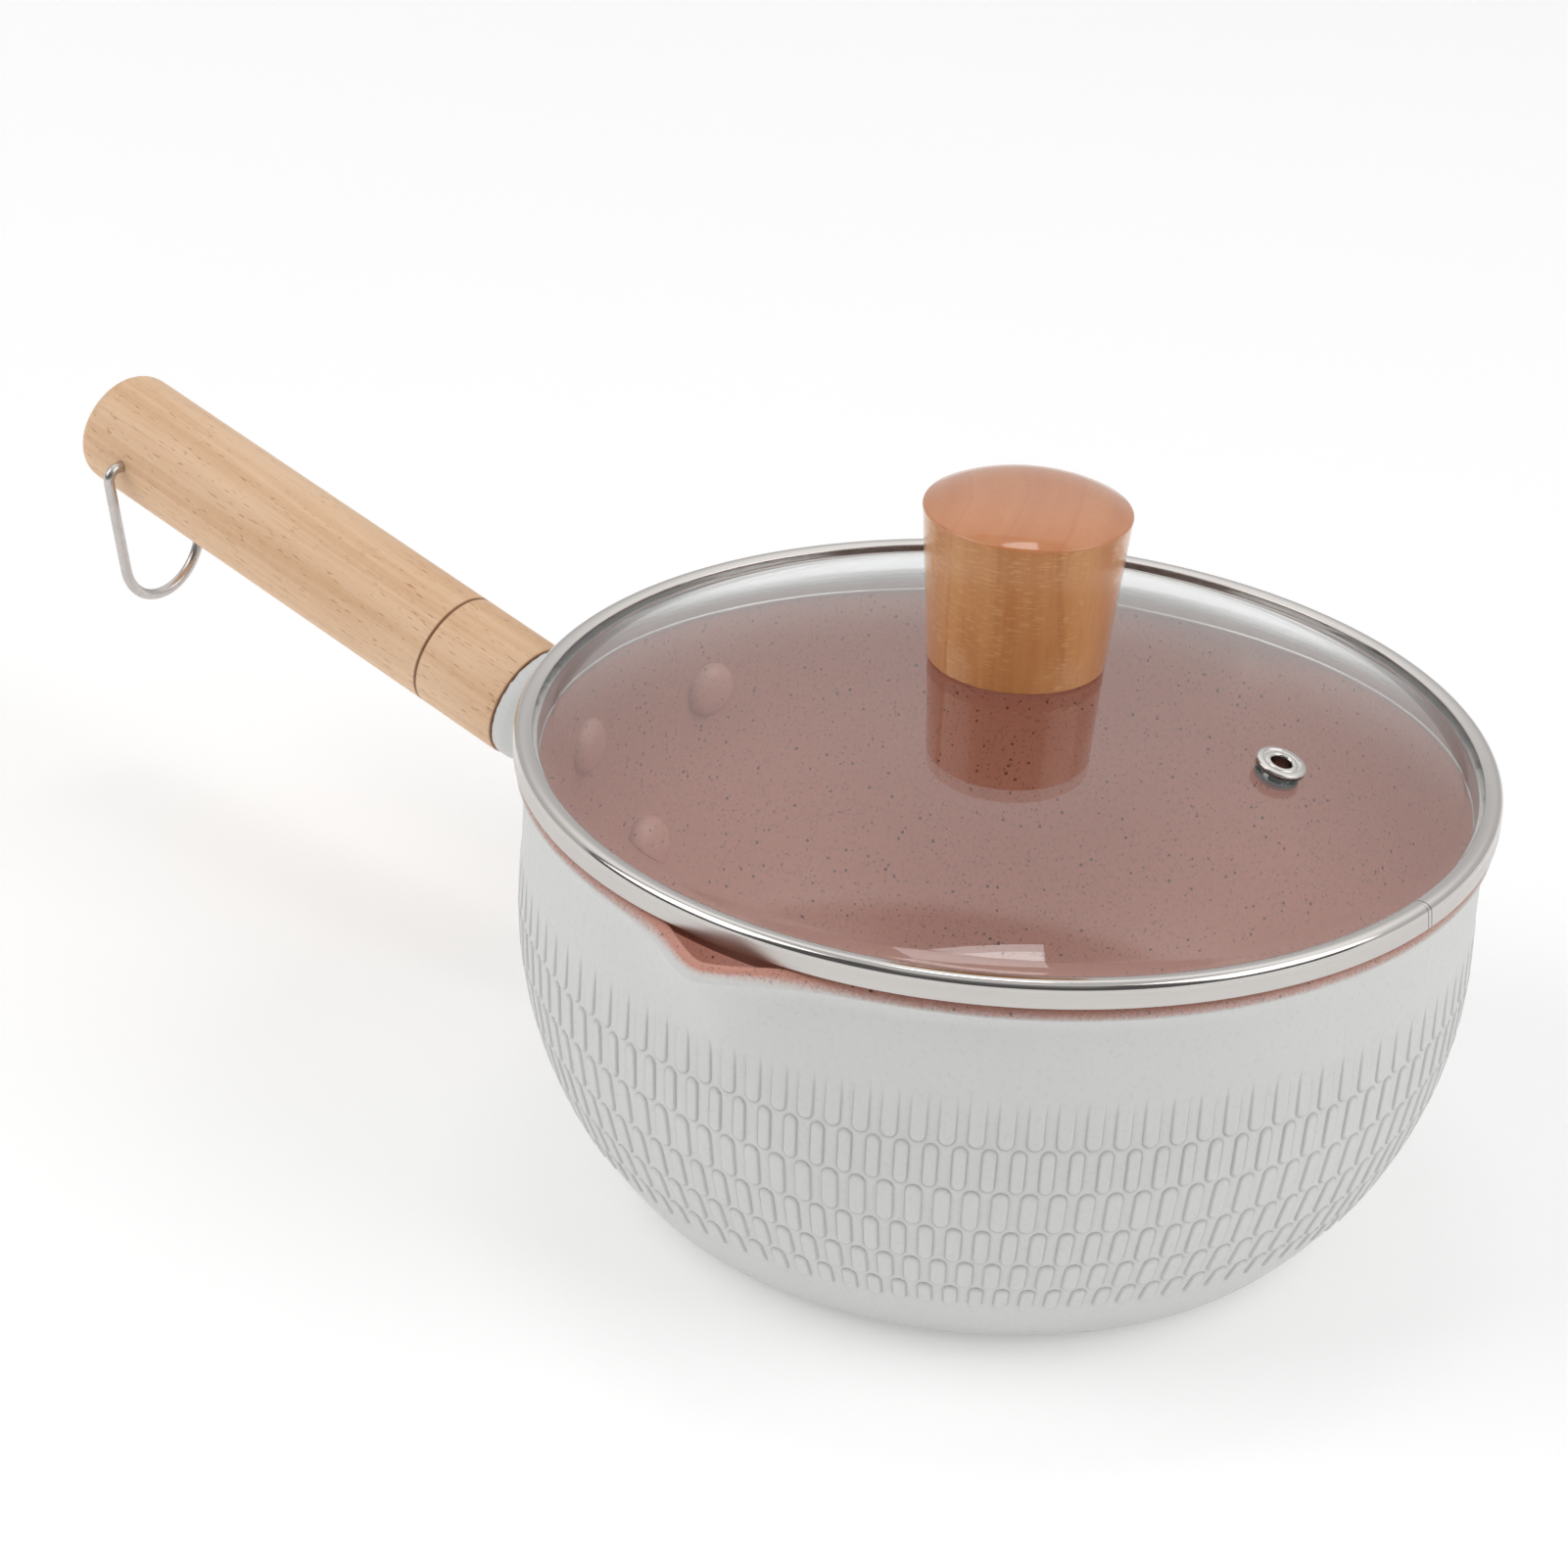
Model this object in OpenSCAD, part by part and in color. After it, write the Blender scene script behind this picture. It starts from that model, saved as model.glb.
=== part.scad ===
// Saucepan with a glass lid: a pressed aluminium bowl-sided pan with two pouring
// spouts, a beech grip on a riveted cast bracket, and a domed lid with a wooden knob.
// Origin: centre of the base, on the resting face. +Z up, the handle runs along +X.

/* [Pan] */
// Inner radius of the wall at the rim
pan_inner_r = 95.3; // [80:0.1:110]
// Height of the lip above the resting face
pan_h = 91.5; // [80:0.5:110]
// Thickness of the wall
wall_t = 2.6; // [2:0.1:4]
// Thickness of the floor
floor_t = 4; // [3:0.5:6]
// Height where the straight wall turns into the bowl
bowl_h = 60; // [50:1:66]
// Radius of the bowl's side in profile
bowl_side_r = 82; // [76:1:90]
// Radius of the corner between the side and the flat base
base_corner_r = 14; // [8:1:18]
// Radius of the rolled lip
lip_r = 1.6; // [1.4:0.1:2]

/* [Spouts] */
// How far round from the handle the first spout sits, in degrees
spout_turn = 93; // [75:1:105]
// Radius of a spout's curved mouth at the lip
spout_mouth_r = 14; // [10:0.5:18]
// How far a spout stands out past the wall
spout_reach = 12.5; // [6:0.5:16]
// Depth of a spout down the wall
spout_depth = 27; // [15:1:30]

/* [Induction plate] */
// Radius of the steel plate in the base
plate_r = 54; // [48:1:58]
// Thickness of the steel plate
plate_t = 0.8; // [0.5:0.1:1.2]
// Radius of the plate's keying holes
plate_hole_r = 2; // [1.5:0.1:2.5]

/* [Handle] */
// Radius of the wooden grip
grip_r = 13.2; // [11:0.1:15]
// Length of the wooden grip
grip_len = 133.7; // [100:0.1:160]
// Slope of the handle above level, in degrees
handle_slope = 12.15; // [0:0.05:20]
// Distance from the pan's axis to the joint of collar and grip
joint_x = 126.85; // [118:0.05:135]
// Height of the handle's axis at that joint
joint_z = 61.5; // [50:0.1:66]
// Rounding of the grip's free end
grip_end_r = 5.5; // [3:0.1:8]
// Distance from the joint to the turned line in the grip
groove_from_joint = 22.75; // [10:0.25:60]
// Distance from the free end to the loop's cross hole
loop_from_end = 17.5; // [14:0.5:30]
// Radius of the bracket's collar at the grip
collar_r = 12.9; // [10:0.1:13]
// Radius of the bracket's neck at its narrowest
neck_r = 11; // [8:0.1:12]
// Thickness of the bracket's riveted foot
foot_t = 3; // [2:0.1:4]

/* [Rivets] */
// Radius of a rivet's shank
rivet_r = 2.5; // [2:0.1:3]
// Radius of a rivet's domed head
rivet_head_r = 4.6; // [4:0.1:5.5]
// Height of a rivet's domed head
rivet_head_h = 2; // [1.5:0.1:2.5]
// Angle of each upper rivet round from the handle, in degrees
rivet_turn = 12.3; // [10:0.1:15]
// Height of the upper rivets
rivet_upper_z = 69; // [64:0.5:76]
// Height of the lower rivet
rivet_lower_z = 38.5; // [34:0.5:44]

/* [Hanging loop] */
// Radius of the loop's wire
wire_r = 1.25; // [1:0.05:1.5]
// Radius of the loop's round bottom, to the wire's centre
loop_bottom_r = 12; // [9:0.5:14]
// Distance from the cross hole to the centre of the round bottom
loop_drop = 24.5; // [20:0.5:35]
// Distance from the handle's axis to the loop's elbows
elbow_out = 14.5; // [14.5:0.1:18]
// Bend radius of the elbows, to the wire's centre
elbow_r = 2.5; // [2:0.1:4]

/* [Lid] */
// Outer radius of the lid's steel rim
rim_r = 100; // [98:0.5:105]
// Height of the lid's steel rim above its seat
rim_h = 5.5; // [5.2:0.1:6.5]
// Thickness of the rim's steel strip
rim_t = 0.5; // [0.4:0.05:0.6]
// Inner radius of the rim's top flange
rim_flange_r = 96.2; // [95.5:0.1:97]
// How far the rim's skirt hangs into the pan
skirt_h = 4.5; // [3:0.5:8]
// Spherical radius of the glass, on its upper face
glass_r = 230; // [215:1:260]
// Thickness of the glass
glass_t = 4; // [3.5:0.1:4]
// Height of the dome's top above the lip of the pan
dome_h = 25.3; // [24:0.1:27]

/* [Steam vent] */
// Distance from the lid's axis to the vent
vent_x = 59; // [40:1:75]
// How far round from the handle the vent sits, in degrees
vent_turn = 189; // [0:1:359]
// Radius of the vent's hole
vent_r = 2.1; // [1.5:0.1:2.2]
// Radius of the vent's top flange
vent_flange_r = 5.1; // [4.5:0.1:6]

/* [Knob] */
// Radius of the knob's foot
knob_foot_r = 18.1; // [15:0.1:19]
// Widest radius of the knob
knob_top_r = 21; // [19:0.1:24]
// Height of the knob's side
knob_side_h = 30; // [20:0.5:36]
// Height of the knob's domed top
knob_dome_h = 5.8; // [4:0.1:9]
// Radius of the knob's screw
screw_r = 2; // [1.5:0.1:2.5]

/* [Hidden] */
$fn = 96;

// Clearances
fit_gap = 0.05;      // round parts that stay put
seat_gap = 0.2;      // lid above the lip
rivet_seat = 0.15;   // flat rivet head on the hollow wall
eps = 0.01;
far = 400;           // past every solid

// Pan profile
pan_outer_r = pan_inner_r + wall_t;
side_centre_x = pan_outer_r - bowl_side_r;
corner_reach = bowl_side_r - base_corner_r;
corner_rise = bowl_h - base_corner_r;
corner_x = side_centre_x + sqrt(corner_reach * corner_reach - corner_rise * corner_rise);
corner_turn = asin(corner_rise / corner_reach);
inner_side_r = bowl_side_r - wall_t;
inner_corner_r = base_corner_r - 2;
inner_reach = inner_side_r - inner_corner_r;
inner_rise = bowl_h - floor_t - inner_corner_r;
inner_corner_x = side_centre_x + sqrt(inner_reach * inner_reach - inner_rise * inner_rise);
inner_turn = asin(inner_rise / inner_reach);
lip_x = pan_outer_r - 0.2;
lip_z = pan_h - lip_r;
lip_foot_z = lip_z - 3;
lip_edge_w = 1;       // sloped inner edge of the lip
lip_edge_h = 1.2;
arc_steps = 14;
spout_low_r = 1;
mouth_drop = 0.05;    // keeps the spouts' top just below the lip

// Rings of keying holes in the induction plate, from the centre out
plate_rings = 3;
plate_first_r = 16;
plate_ring_step = 13;
plate_first_holes = 8;

// Rivets
rivet_hole_len = 30;
rivet_tail_h = 1.2;   // formed head on the bracket's foot
rivet_tail_r = rivet_head_r - 0.4;
rivet_tail_taper = 0.8;
rivet_pocket_h = 8;

// Handle axis: s is the distance along it from the joint
loop_s = grip_len - loop_from_end;
groove_depth = 0.7;
groove_half_w = 0.5;
stud_r = 4;
stud_wood_r = 3.4;
stud_in_grip = 36;
stud_in_bracket = 20;
grip_chamfer = 0.5;
grip_crown = 0.4;
stud_end_gap = 1;
foot_edge_r = 9;
foot_back_x = 60;
foot_low_turn = -32;
foot_low_z = bowl_h + (bowl_side_r + foot_t) * sin(foot_low_turn);

// Bracket's neck, by distance back from the joint
collar_back = 3;
neck_front = 9;
neck_back = 15;
neck_round = 8;
flare_mid = 26;
flare_mid_r = 15;
flare_back = 40;
flare_back_r = 19;

// Loop
leg_span = norm([elbow_out, loop_drop - elbow_r]);
leg_lean = atan2(elbow_out, loop_drop - elbow_r) + asin((elbow_r - loop_bottom_r) / leg_span);
leg_len = elbow_out * sin(leg_lean) + (loop_drop - elbow_r) * cos(leg_lean);
pin_gap = 1;
bend_step = 0.01;     // straight wire is this much thinner, so it ends inside the bends
bend_lap = 0.1;

// Lid
seat_z = pan_h + seat_gap;
rim_top_z = seat_z + rim_h;
rim_corner_r = 1.2;
rim_foot_r = 0.4;
skirt_r = pan_inner_r - 0.3;
hem_r = 0.45;
hem_turn = 360 - acos((hem_r - rim_t) / hem_r);
glass_top_z = pan_h + dome_h;
glass_centre_z = glass_top_z - glass_r;
glass_edge_r = rim_r - rim_t - 0.2;
edge_top_z = rim_top_z - rim_t - 0.2;
edge_low_z = seat_z + rim_t + 0.1;
dome_steps = 20;

// Vent, measured from the glass's upper face
vent_wall = 0.8;
vent_gasket_t = 0.2;
vent_flange_t = 0.9;
vent_pad_t = 0.3;
vent_washer_t = 0.6;
vent_washer_r = vent_flange_r - 0.6;
vent_pad_r = vent_flange_r - 0.1;
vent_lip_w = 0.9;     // clinched lip below the washer
vent_lip_t = 0.6;
vent_tube_r = vent_r + vent_wall;
vent_hole_r = vent_tube_r + vent_gasket_t + 2 * fit_gap;
vent_low = -glass_t - glass_sag(vent_washer_r);

// Knob stack
knob_hole_r = 4;
pad_t = 0.4;
pad_r = 13;
insert_r = 5;
insert_len = 14;
seal_t = 1;
seal_r = 8.5;
washer_t = 0.8;
washer_r = 7;
head_r = 4;
head_t = 2.2;
head_taper = 0.8;
slot_w = 1;
slot_len = 4;
slot_depth = 1.2;
screw_in_knob = 11;
knob_chamfer = 0.4;
knob_bore_gap = 0.5;
knob_steps = 24;
knob_dome_power = 1.1;
knob_z = glass_top_z + pad_t;
under_z = glass_top_z - glass_t - glass_sag(seal_r);

// Points on an arc about (x, z) from angle a to angle b
function arc(x, z, r, a, b, n = arc_steps) =
    [for (i = [0 : n]) [x + r * cos(a + (b - a) * i / n), z + r * sin(a + (b - a) * i / n)]];

// Height of a sphere of radius r, centred on the lid's dome centre, at distance x from the axis
function dome_z(r, x) = glass_centre_z + sqrt(r * r - x * x);

// How far the glass's underside curves down within distance r of a flat part held against it
function glass_sag(r) = r * r / (2 * (glass_r - glass_t)) + 0.02;

// Distance from the axis where that sphere is at height z
function dome_x(r, z) = sqrt(r * r - pow(z - glass_centre_z, 2));

// Outline of the pan's outer face, from the base to the top of the bowl
function outer_side() = concat(
    arc(corner_x, base_corner_r, base_corner_r, -90, -corner_turn),
    arc(side_centre_x, bowl_h, bowl_side_r, -corner_turn, 0));

// Radius of the pan's outer face at height z on the bowl or the wall above it
function outer_x(z) = z > bowl_h ? pan_outer_r
    : side_centre_x + sqrt(bowl_side_r * bowl_side_r - pow(z - bowl_h, 2));

// The pan's outer form, filled
module outer_form() {
    rotate_extrude()
        polygon(concat(
            [[0, 0]],
            outer_side(),
            [[pan_outer_r, lip_foot_z], [lip_x + lip_r, lip_z]],
            arc(lip_x, lip_z, lip_r, 0, 90, 6),
            [[0, pan_h]]));
}

// The space inside the pan
module inner_form() {
    rotate_extrude()
        polygon(concat(
            [[0, floor_t]],
            arc(inner_corner_x, floor_t + inner_corner_r, inner_corner_r, -90, -inner_turn),
            arc(side_centre_x, bowl_h, inner_side_r, -inner_turn, 0),
            [[pan_inner_r, pan_h - lip_edge_h], [pan_inner_r + lip_edge_w, pan_h],
             [pan_inner_r + lip_edge_w, pan_h + 1], [0, pan_h + 1]]));
}

// A spout's flared mouth, as a cone that opens towards the lip and ends past it by extra
module spout_cone(shrink, extra) {
    slope = (spout_mouth_r - spout_low_r) / spout_depth;
    start = shrink / slope;
    h = spout_depth - start + extra;
    translate([pan_outer_r + spout_reach - spout_mouth_r, 0, pan_h - spout_depth + start])
        cylinder(h = h, r1 = spout_low_r, r2 = spout_low_r + h * slope);
}

// Puts its children at both spouts
module at_spouts() {
    for (side = [0, 180])
        rotate([0, 0, spout_turn + side])
            children();
}

// Puts its children at the keying holes of the induction plate
module at_plate_holes() {
    for (ring = [0 : plate_rings - 1]) {
        count = plate_first_holes * (ring + 1);
        for (i = [0 : count - 1])
            rotate([0, 0, (i + ring / 2) * 360 / count])
                translate([plate_first_r + plate_ring_step * ring, 0, 0])
                    children();
    }
}

// Puts its children on the handle's axis at distance s from the joint, with Z along the axis
module on_handle(s) {
    translate([joint_x, 0, joint_z])
        rotate([0, 90 - handle_slope, 0])
            translate([0, 0, s])
                children();
}

// Puts its children on the pan's outer face at height z, with X pointing out of the wall
module on_wall(turn, z) {
    lean = z > bowl_h ? 0 : asin((bowl_h - z) / bowl_side_r);
    rotate([0, 0, turn])
        translate([outer_x(z), 0, z])
            rotate([0, lean, 0])
                children();
}

// Puts its children at one of the three rivets
module at_rivet(which) {
    if (which == "lower")
        on_wall(0, rivet_lower_z) children();
    else
        on_wall(which == "left" ? rivet_turn : -rivet_turn, rivet_upper_z) children();
}

// Hole for a rivet through the wall and the bracket's foot
module rivet_hole(which) {
    at_rivet(which)
        rotate([0, 90, 0])
            cylinder(h = rivet_hole_len, r = rivet_r + fit_gap / 2, center = true);
}

module rivet_holes() {
    for (which = ["left", "right", "lower"])
        rivet_hole(which);
}

// Room in the bracket for the formed heads of the rivets
module rivet_pockets() {
    for (which = ["left", "right", "lower"])
        at_rivet(which)
            translate([foot_t, 0, 0])
                rotate([0, 90, 0])
                    cylinder(h = rivet_pocket_h, r = rivet_head_r);
}

// Puts its children on the glass at the vent, with Z out of the glass
module at_vent() {
    translate([0, 0, glass_centre_z])
        rotate([0, asin(vent_x / glass_r), vent_turn])
            translate([0, 0, glass_r])
                children();
}

// A ring about Z from height a to height b
module ring(r_out, r_in, a, b) {
    translate([0, 0, a])
        difference() {
            cylinder(h = b - a, r = r_out);
            translate([0, 0, -1])
                cylinder(h = b - a + 2, r = r_in);
        }
}

// Aluminium pan with two spouts, and pegs that key into the induction plate
module pot_body() {
    color("whitesmoke") {
        difference() {
            union() {
                outer_form();
                at_spouts()
                    spout_cone(0, -mouth_drop);
            }
            inner_form();
            at_spouts()
                spout_cone(wall_t, 2);
            translate([0, 0, -1])
                cylinder(h = 1 + plate_t + fit_gap, r = plate_r + fit_gap);
            rivet_holes();
        }
        at_plate_holes()
            cylinder(h = plate_t + 1, r = plate_hole_r - fit_gap);
    }
}

// Perforated steel plate, flush with the base
module induction_plate() {
    color("silver")
        difference() {
            cylinder(h = plate_t, r = plate_r);
            at_plate_holes()
                translate([0, 0, -1])
                    cylinder(h = plate_t + 2, r = plate_hole_r);
        }
}

// Outline of the bracket's foot, seen along the handle: Y across, Z up, a triangle with round corners
module foot_outline() {
    half_w = pan_outer_r * sin(rivet_turn);
    low_z = rivet_lower_z - 1;
    lean = atan2(half_w, rivet_upper_z - low_z);
    polygon(concat(
        arc(half_w, rivet_upper_z, foot_edge_r, -lean, 90, 8),
        arc(-half_w, rivet_upper_z, foot_edge_r, 90, 180 + lean, 8),
        arc(0, low_z, foot_edge_r, 180 + lean, 360 - lean, 8)));
}

// Cast bracket: riveted foot, waisted neck and round collar
module handle_bracket() {
    color("gainsboro")
        difference() {
            union() {
                intersection() {
                    rotate_extrude()
                        polygon(concat([[foot_back_x, foot_low_z]],
                            arc(side_centre_x, bowl_h, bowl_side_r + foot_t, foot_low_turn, 0, 8),
                            [[pan_outer_r + foot_t, lip_foot_z], [foot_back_x, lip_foot_z]]));
                    rotate([90, 0, 90])
                        linear_extrude(far)
                            foot_outline();
                }
                on_handle(0)
                    rotate_extrude()
                        polygon(concat(
                            [[0, -flare_back], [flare_back_r, -flare_back], [flare_mid_r, -flare_mid]],
                            arc(neck_r + neck_round, -neck_back, neck_round, 200, 180, 6),
                            [[neck_r, -neck_front], [collar_r, -collar_back], [collar_r, 0], [0, 0]]));
            }
            outer_form();
            rivet_holes();
            rivet_pockets();
            on_handle(-stud_in_bracket)
                cylinder(h = stud_in_bracket + 1, r = stud_r + fit_gap);
        }
}

// Domed rivet: head inside the pan, shank, and a formed head on the bracket's foot
module rivet(which) {
    dome_r = (rivet_head_r * rivet_head_r + rivet_head_h * rivet_head_h) / (2 * rivet_head_h);
    inner = -wall_t - rivet_seat;
    at_rivet(which) {
        rotate([0, 90, 0])
            translate([0, 0, inner - eps])
                cylinder(h = foot_t - inner + 2 * eps, r = rivet_r);
        intersection() {
            translate([inner - rivet_head_h + dome_r, 0, 0])
                sphere(r = dome_r);
            translate([inner - far, -far / 2, -far / 2])
                cube([far, far, far]);
        }
        translate([foot_t, 0, 0])
            rotate([0, 90, 0])
                cylinder(h = rivet_tail_h, r1 = rivet_tail_r, r2 = rivet_tail_r - rivet_tail_taper);
    }
}

module rivet_upper_left() {
    color("rosybrown")
        rivet("left");
}

module rivet_upper_right() {
    color("rosybrown")
        rivet("right");
}

module rivet_lower() {
    color("rosybrown")
        rivet("lower");
}

// Stud that ties the grip to the bracket
module handle_stud() {
    color("silver") {
        on_handle(-stud_in_bracket + stud_end_gap)
            cylinder(h = stud_in_bracket - stud_end_gap, r = stud_r);
        on_handle(-eps)
            cylinder(h = stud_in_grip, r = stud_wood_r);
    }
}

// Turned beech grip with a line round it, a bore for the stud and a cross hole for the loop
module handle_grip() {
    end_x = grip_r - grip_end_r;
    color("burlywood")
        difference() {
            on_handle(0)
                rotate_extrude()
                    polygon(concat(
                        [[0, 0], [grip_r - grip_chamfer, 0], [grip_r, grip_chamfer],
                         [grip_r, groove_from_joint - groove_half_w],
                         [grip_r - groove_depth, groove_from_joint],
                         [grip_r, groove_from_joint + groove_half_w]],
                        arc(end_x, grip_len - grip_end_r, grip_end_r, 0, 90, 8),
                        [[0, grip_len + grip_crown]]));
            on_handle(-1)
                cylinder(h = stud_in_grip + 1 + stud_end_gap, r = stud_wood_r + fit_gap);
            on_handle(loop_s)
                rotate([90, 0, 0])
                    cylinder(h = far, r = wire_r + fit_gap, center = true);
        }
}

// Bent stretch of the loop's wire about a centre, from angle a to angle b
module wire_bend(centre, r, a, b) {
    translate(centre)
        rotate([0, 0, a])
            rotate_extrude(angle = b - a)
                translate([r, 0])
                    circle(r = wire_r, $fn = 32);
}

// The pin, elbow and leg on one side, in the loop's own plane: X out along the cross hole, Y down
module loop_side() {
    straight_r = wire_r - bend_step;
    rotate([0, 90, 0])
        translate([0, 0, pin_gap / 2])
            cylinder(h = elbow_out - pin_gap / 2 + bend_lap, r = straight_r, $fn = 32);
    wire_bend([elbow_out, elbow_r, 0], elbow_r, -90, leg_lean);
    translate([elbow_out, elbow_r, 0])
        rotate([0, 0, leg_lean])
            translate([elbow_r, -bend_lap, 0])
                rotate([-90, 0, 0])
                    cylinder(h = leg_len + 2 * bend_lap, r = straight_r, $fn = 32);
}

// Bent wire loop whose two ends turn in the grip's cross hole, hanging straight down
module hanging_loop() {
    x = joint_x + loop_s * cos(handle_slope);
    z = joint_z + loop_s * sin(handle_slope);
    color("silver")
        translate([x, 0, z])
            rotate([0, 0, 90])
                rotate([-90, 0, 0]) {
                    loop_side();
                    mirror([1, 0, 0])
                        loop_side();
                    wire_bend([0, loop_drop, 0], loop_bottom_r, leg_lean, 180 - leg_lean);
                }
}

// Roll-formed steel rim: top flange, outer band, seat and a skirt that hangs in the pan
module lid_rim() {
    skirt_low = seat_z - skirt_h;
    corner_z = rim_top_z - rim_corner_r;
    corner_r0 = rim_r - rim_corner_r;
    color("lightgray")
        rotate_extrude($fn = 180)
            polygon(concat(
                [[rim_flange_r, rim_top_z]],
                arc(corner_r0, corner_z, rim_corner_r, 90, 0, 6),
                arc(rim_r - rim_foot_r, seat_z + rim_foot_r, rim_foot_r, 0, -90, 4),
                [[skirt_r, seat_z]],
                arc(skirt_r - hem_r, skirt_low, hem_r, 0, -hem_turn, 10),
                [[skirt_r - rim_t, seat_z + rim_t], [rim_r - rim_t, seat_z + rim_t]],
                arc(corner_r0, corner_z, rim_corner_r - rim_t, 0, 90, 6),
                [[rim_flange_r, rim_top_z - rim_t]]));
}

// Domed glass with a level edge inside the rim, and holes for the knob and the vent
module lid_glass() {
    top_x = dome_x(glass_r, edge_top_z);
    low_r = glass_r - glass_t;
    low_x = dome_x(low_r, edge_low_z);
    color("lightcyan", 0.35)
        difference() {
            rotate_extrude($fn = 180)
                polygon(concat(
                    [for (i = [0 : dome_steps]) let (x = top_x * i / dome_steps)
                        [x, dome_z(glass_r, x)]],
                    [[glass_edge_r, edge_top_z], [glass_edge_r, edge_low_z]],
                    [for (i = [0 : dome_steps]) let (x = low_x * (1 - i / dome_steps))
                        [x, dome_z(low_r, x)]]));
            translate([0, 0, under_z - 1])
                cylinder(h = glass_t + 3, r = knob_hole_r);
            at_vent()
                translate([0, 0, vent_low - 1])
                    cylinder(h = glass_t + 3, r = vent_hole_r);
        }
}

// Silicone bush between the vent and the glass, with a thin flange on each face
module vent_gasket() {
    sleeve_r = vent_hole_r - fit_gap;
    color("lightgray")
        at_vent() {
            ring(sleeve_r, vent_tube_r + fit_gap, vent_low, eps);
            ring(vent_pad_r, vent_tube_r + fit_gap, 0, vent_pad_t);
            ring(vent_washer_r, vent_tube_r + fit_gap, vent_low - vent_pad_t, vent_low);
        }
}

// Steel eyelet: rounded flange on top, tube through the glass, clinched lip below
module vent_eyelet() {
    top = vent_pad_t;
    clinch = vent_low - vent_pad_t - vent_washer_t;
    edge_r = vent_flange_t / 2;
    color("silver")
        at_vent()
            rotate_extrude()
                polygon(concat(
                    [[vent_r, clinch - vent_lip_t], [vent_tube_r + vent_lip_w, clinch - vent_lip_t],
                     [vent_tube_r + vent_lip_w, clinch - eps], [vent_tube_r, clinch - eps],
                     [vent_tube_r, top], [vent_flange_r - edge_r, top]],
                    arc(vent_flange_r - edge_r, top + edge_r, edge_r, -90, 90, 8),
                    arc(vent_r + edge_r, top + edge_r, edge_r, 90, 180, 6)));
}

// Backing washer under the glass at the vent
module vent_washer() {
    high = vent_low - vent_pad_t;
    color("silver")
        at_vent()
            ring(vent_washer_r, vent_tube_r + fit_gap, high - vent_washer_t, high);
}

// Soft disc between the knob and the glass
module knob_pad() {
    color("lightgray")
        ring(pad_r, screw_r + fit_gap, glass_top_z, knob_z);
}

// Turned wooden knob: tapered side, rounded shoulder and domed top
module knob() {
    side_z = knob_z + knob_side_h;
    color("peru")
        difference() {
            rotate_extrude()
                polygon(concat(
                    [[0, knob_z], [knob_foot_r - knob_chamfer, knob_z],
                     [knob_foot_r, knob_z + knob_chamfer]],
                    [for (i = [0 : knob_steps]) let (a = 90 * i / knob_steps)
                        [knob_top_r * cos(a), side_z + knob_dome_h * pow(sin(a), knob_dome_power)]]));
            translate([0, 0, knob_z - 1])
                cylinder(h = insert_len + 1 + knob_bore_gap, r = insert_r + fit_gap);
        }
}

// Threaded metal sleeve set into the knob's foot
module knob_insert() {
    color("gold")
        ring(insert_r, screw_r + fit_gap, knob_z, knob_z + insert_len);
}

// Silicone bush: sleeve through the glass and a flange below it
module knob_seal() {
    color("lightgray") {
        ring(knob_hole_r - fit_gap, screw_r + fit_gap, under_z - eps, glass_top_z - fit_gap);
        ring(seal_r, screw_r + fit_gap, under_z - seal_t, under_z);
    }
}

// Steel washer under the silicone bush
module knob_washer() {
    color("silver")
        ring(washer_r, screw_r + fit_gap, under_z - seal_t - washer_t, under_z - seal_t);
}

// Machine screw from below the lid into the knob's insert, with a cross slot
module knob_screw() {
    head_top = under_z - seal_t - washer_t;
    head_low = head_top - head_t;
    color("silver") {
        translate([0, 0, head_top - eps])
            cylinder(h = knob_z - head_top + screw_in_knob, r = screw_r);
        difference() {
            translate([0, 0, head_low])
                cylinder(h = head_t, r1 = head_r - head_taper, r2 = head_r);
            for (turn = [0, 90])
                rotate([0, 0, turn])
                    translate([-slot_len / 2, -slot_w / 2, head_low - 1])
                        cube([slot_len, slot_w, slot_depth + 1]);
        }
    }
}

pot_body();
induction_plate();
handle_bracket();
rivet_upper_left();
rivet_upper_right();
rivet_lower();
handle_stud();
handle_grip();
hanging_loop();
lid_rim();
lid_glass();
vent_gasket();
vent_eyelet();
vent_washer();
knob_pad();
knob();
knob_insert();
knob_seal();
knob_washer();
knob_screw();
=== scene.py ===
"""Looks of a saucepan with a glass lid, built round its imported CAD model. The scene is in metres."""

import math

import bmesh
import bpy
import numpy as np
from mathutils import Matrix, Vector


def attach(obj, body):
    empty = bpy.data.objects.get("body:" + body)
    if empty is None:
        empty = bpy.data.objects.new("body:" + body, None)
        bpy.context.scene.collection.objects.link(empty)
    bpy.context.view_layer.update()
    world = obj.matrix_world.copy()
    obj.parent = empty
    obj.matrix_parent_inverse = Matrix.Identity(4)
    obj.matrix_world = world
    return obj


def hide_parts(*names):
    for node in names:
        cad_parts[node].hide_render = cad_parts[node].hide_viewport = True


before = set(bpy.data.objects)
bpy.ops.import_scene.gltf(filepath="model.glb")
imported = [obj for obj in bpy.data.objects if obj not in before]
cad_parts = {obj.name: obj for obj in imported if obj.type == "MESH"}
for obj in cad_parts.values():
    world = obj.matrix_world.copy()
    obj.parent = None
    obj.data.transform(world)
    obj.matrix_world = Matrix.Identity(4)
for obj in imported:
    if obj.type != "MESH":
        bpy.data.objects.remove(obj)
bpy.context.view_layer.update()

MM = 0.001

# ---------------------------------------------------------------- sizes, in millimetres

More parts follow.
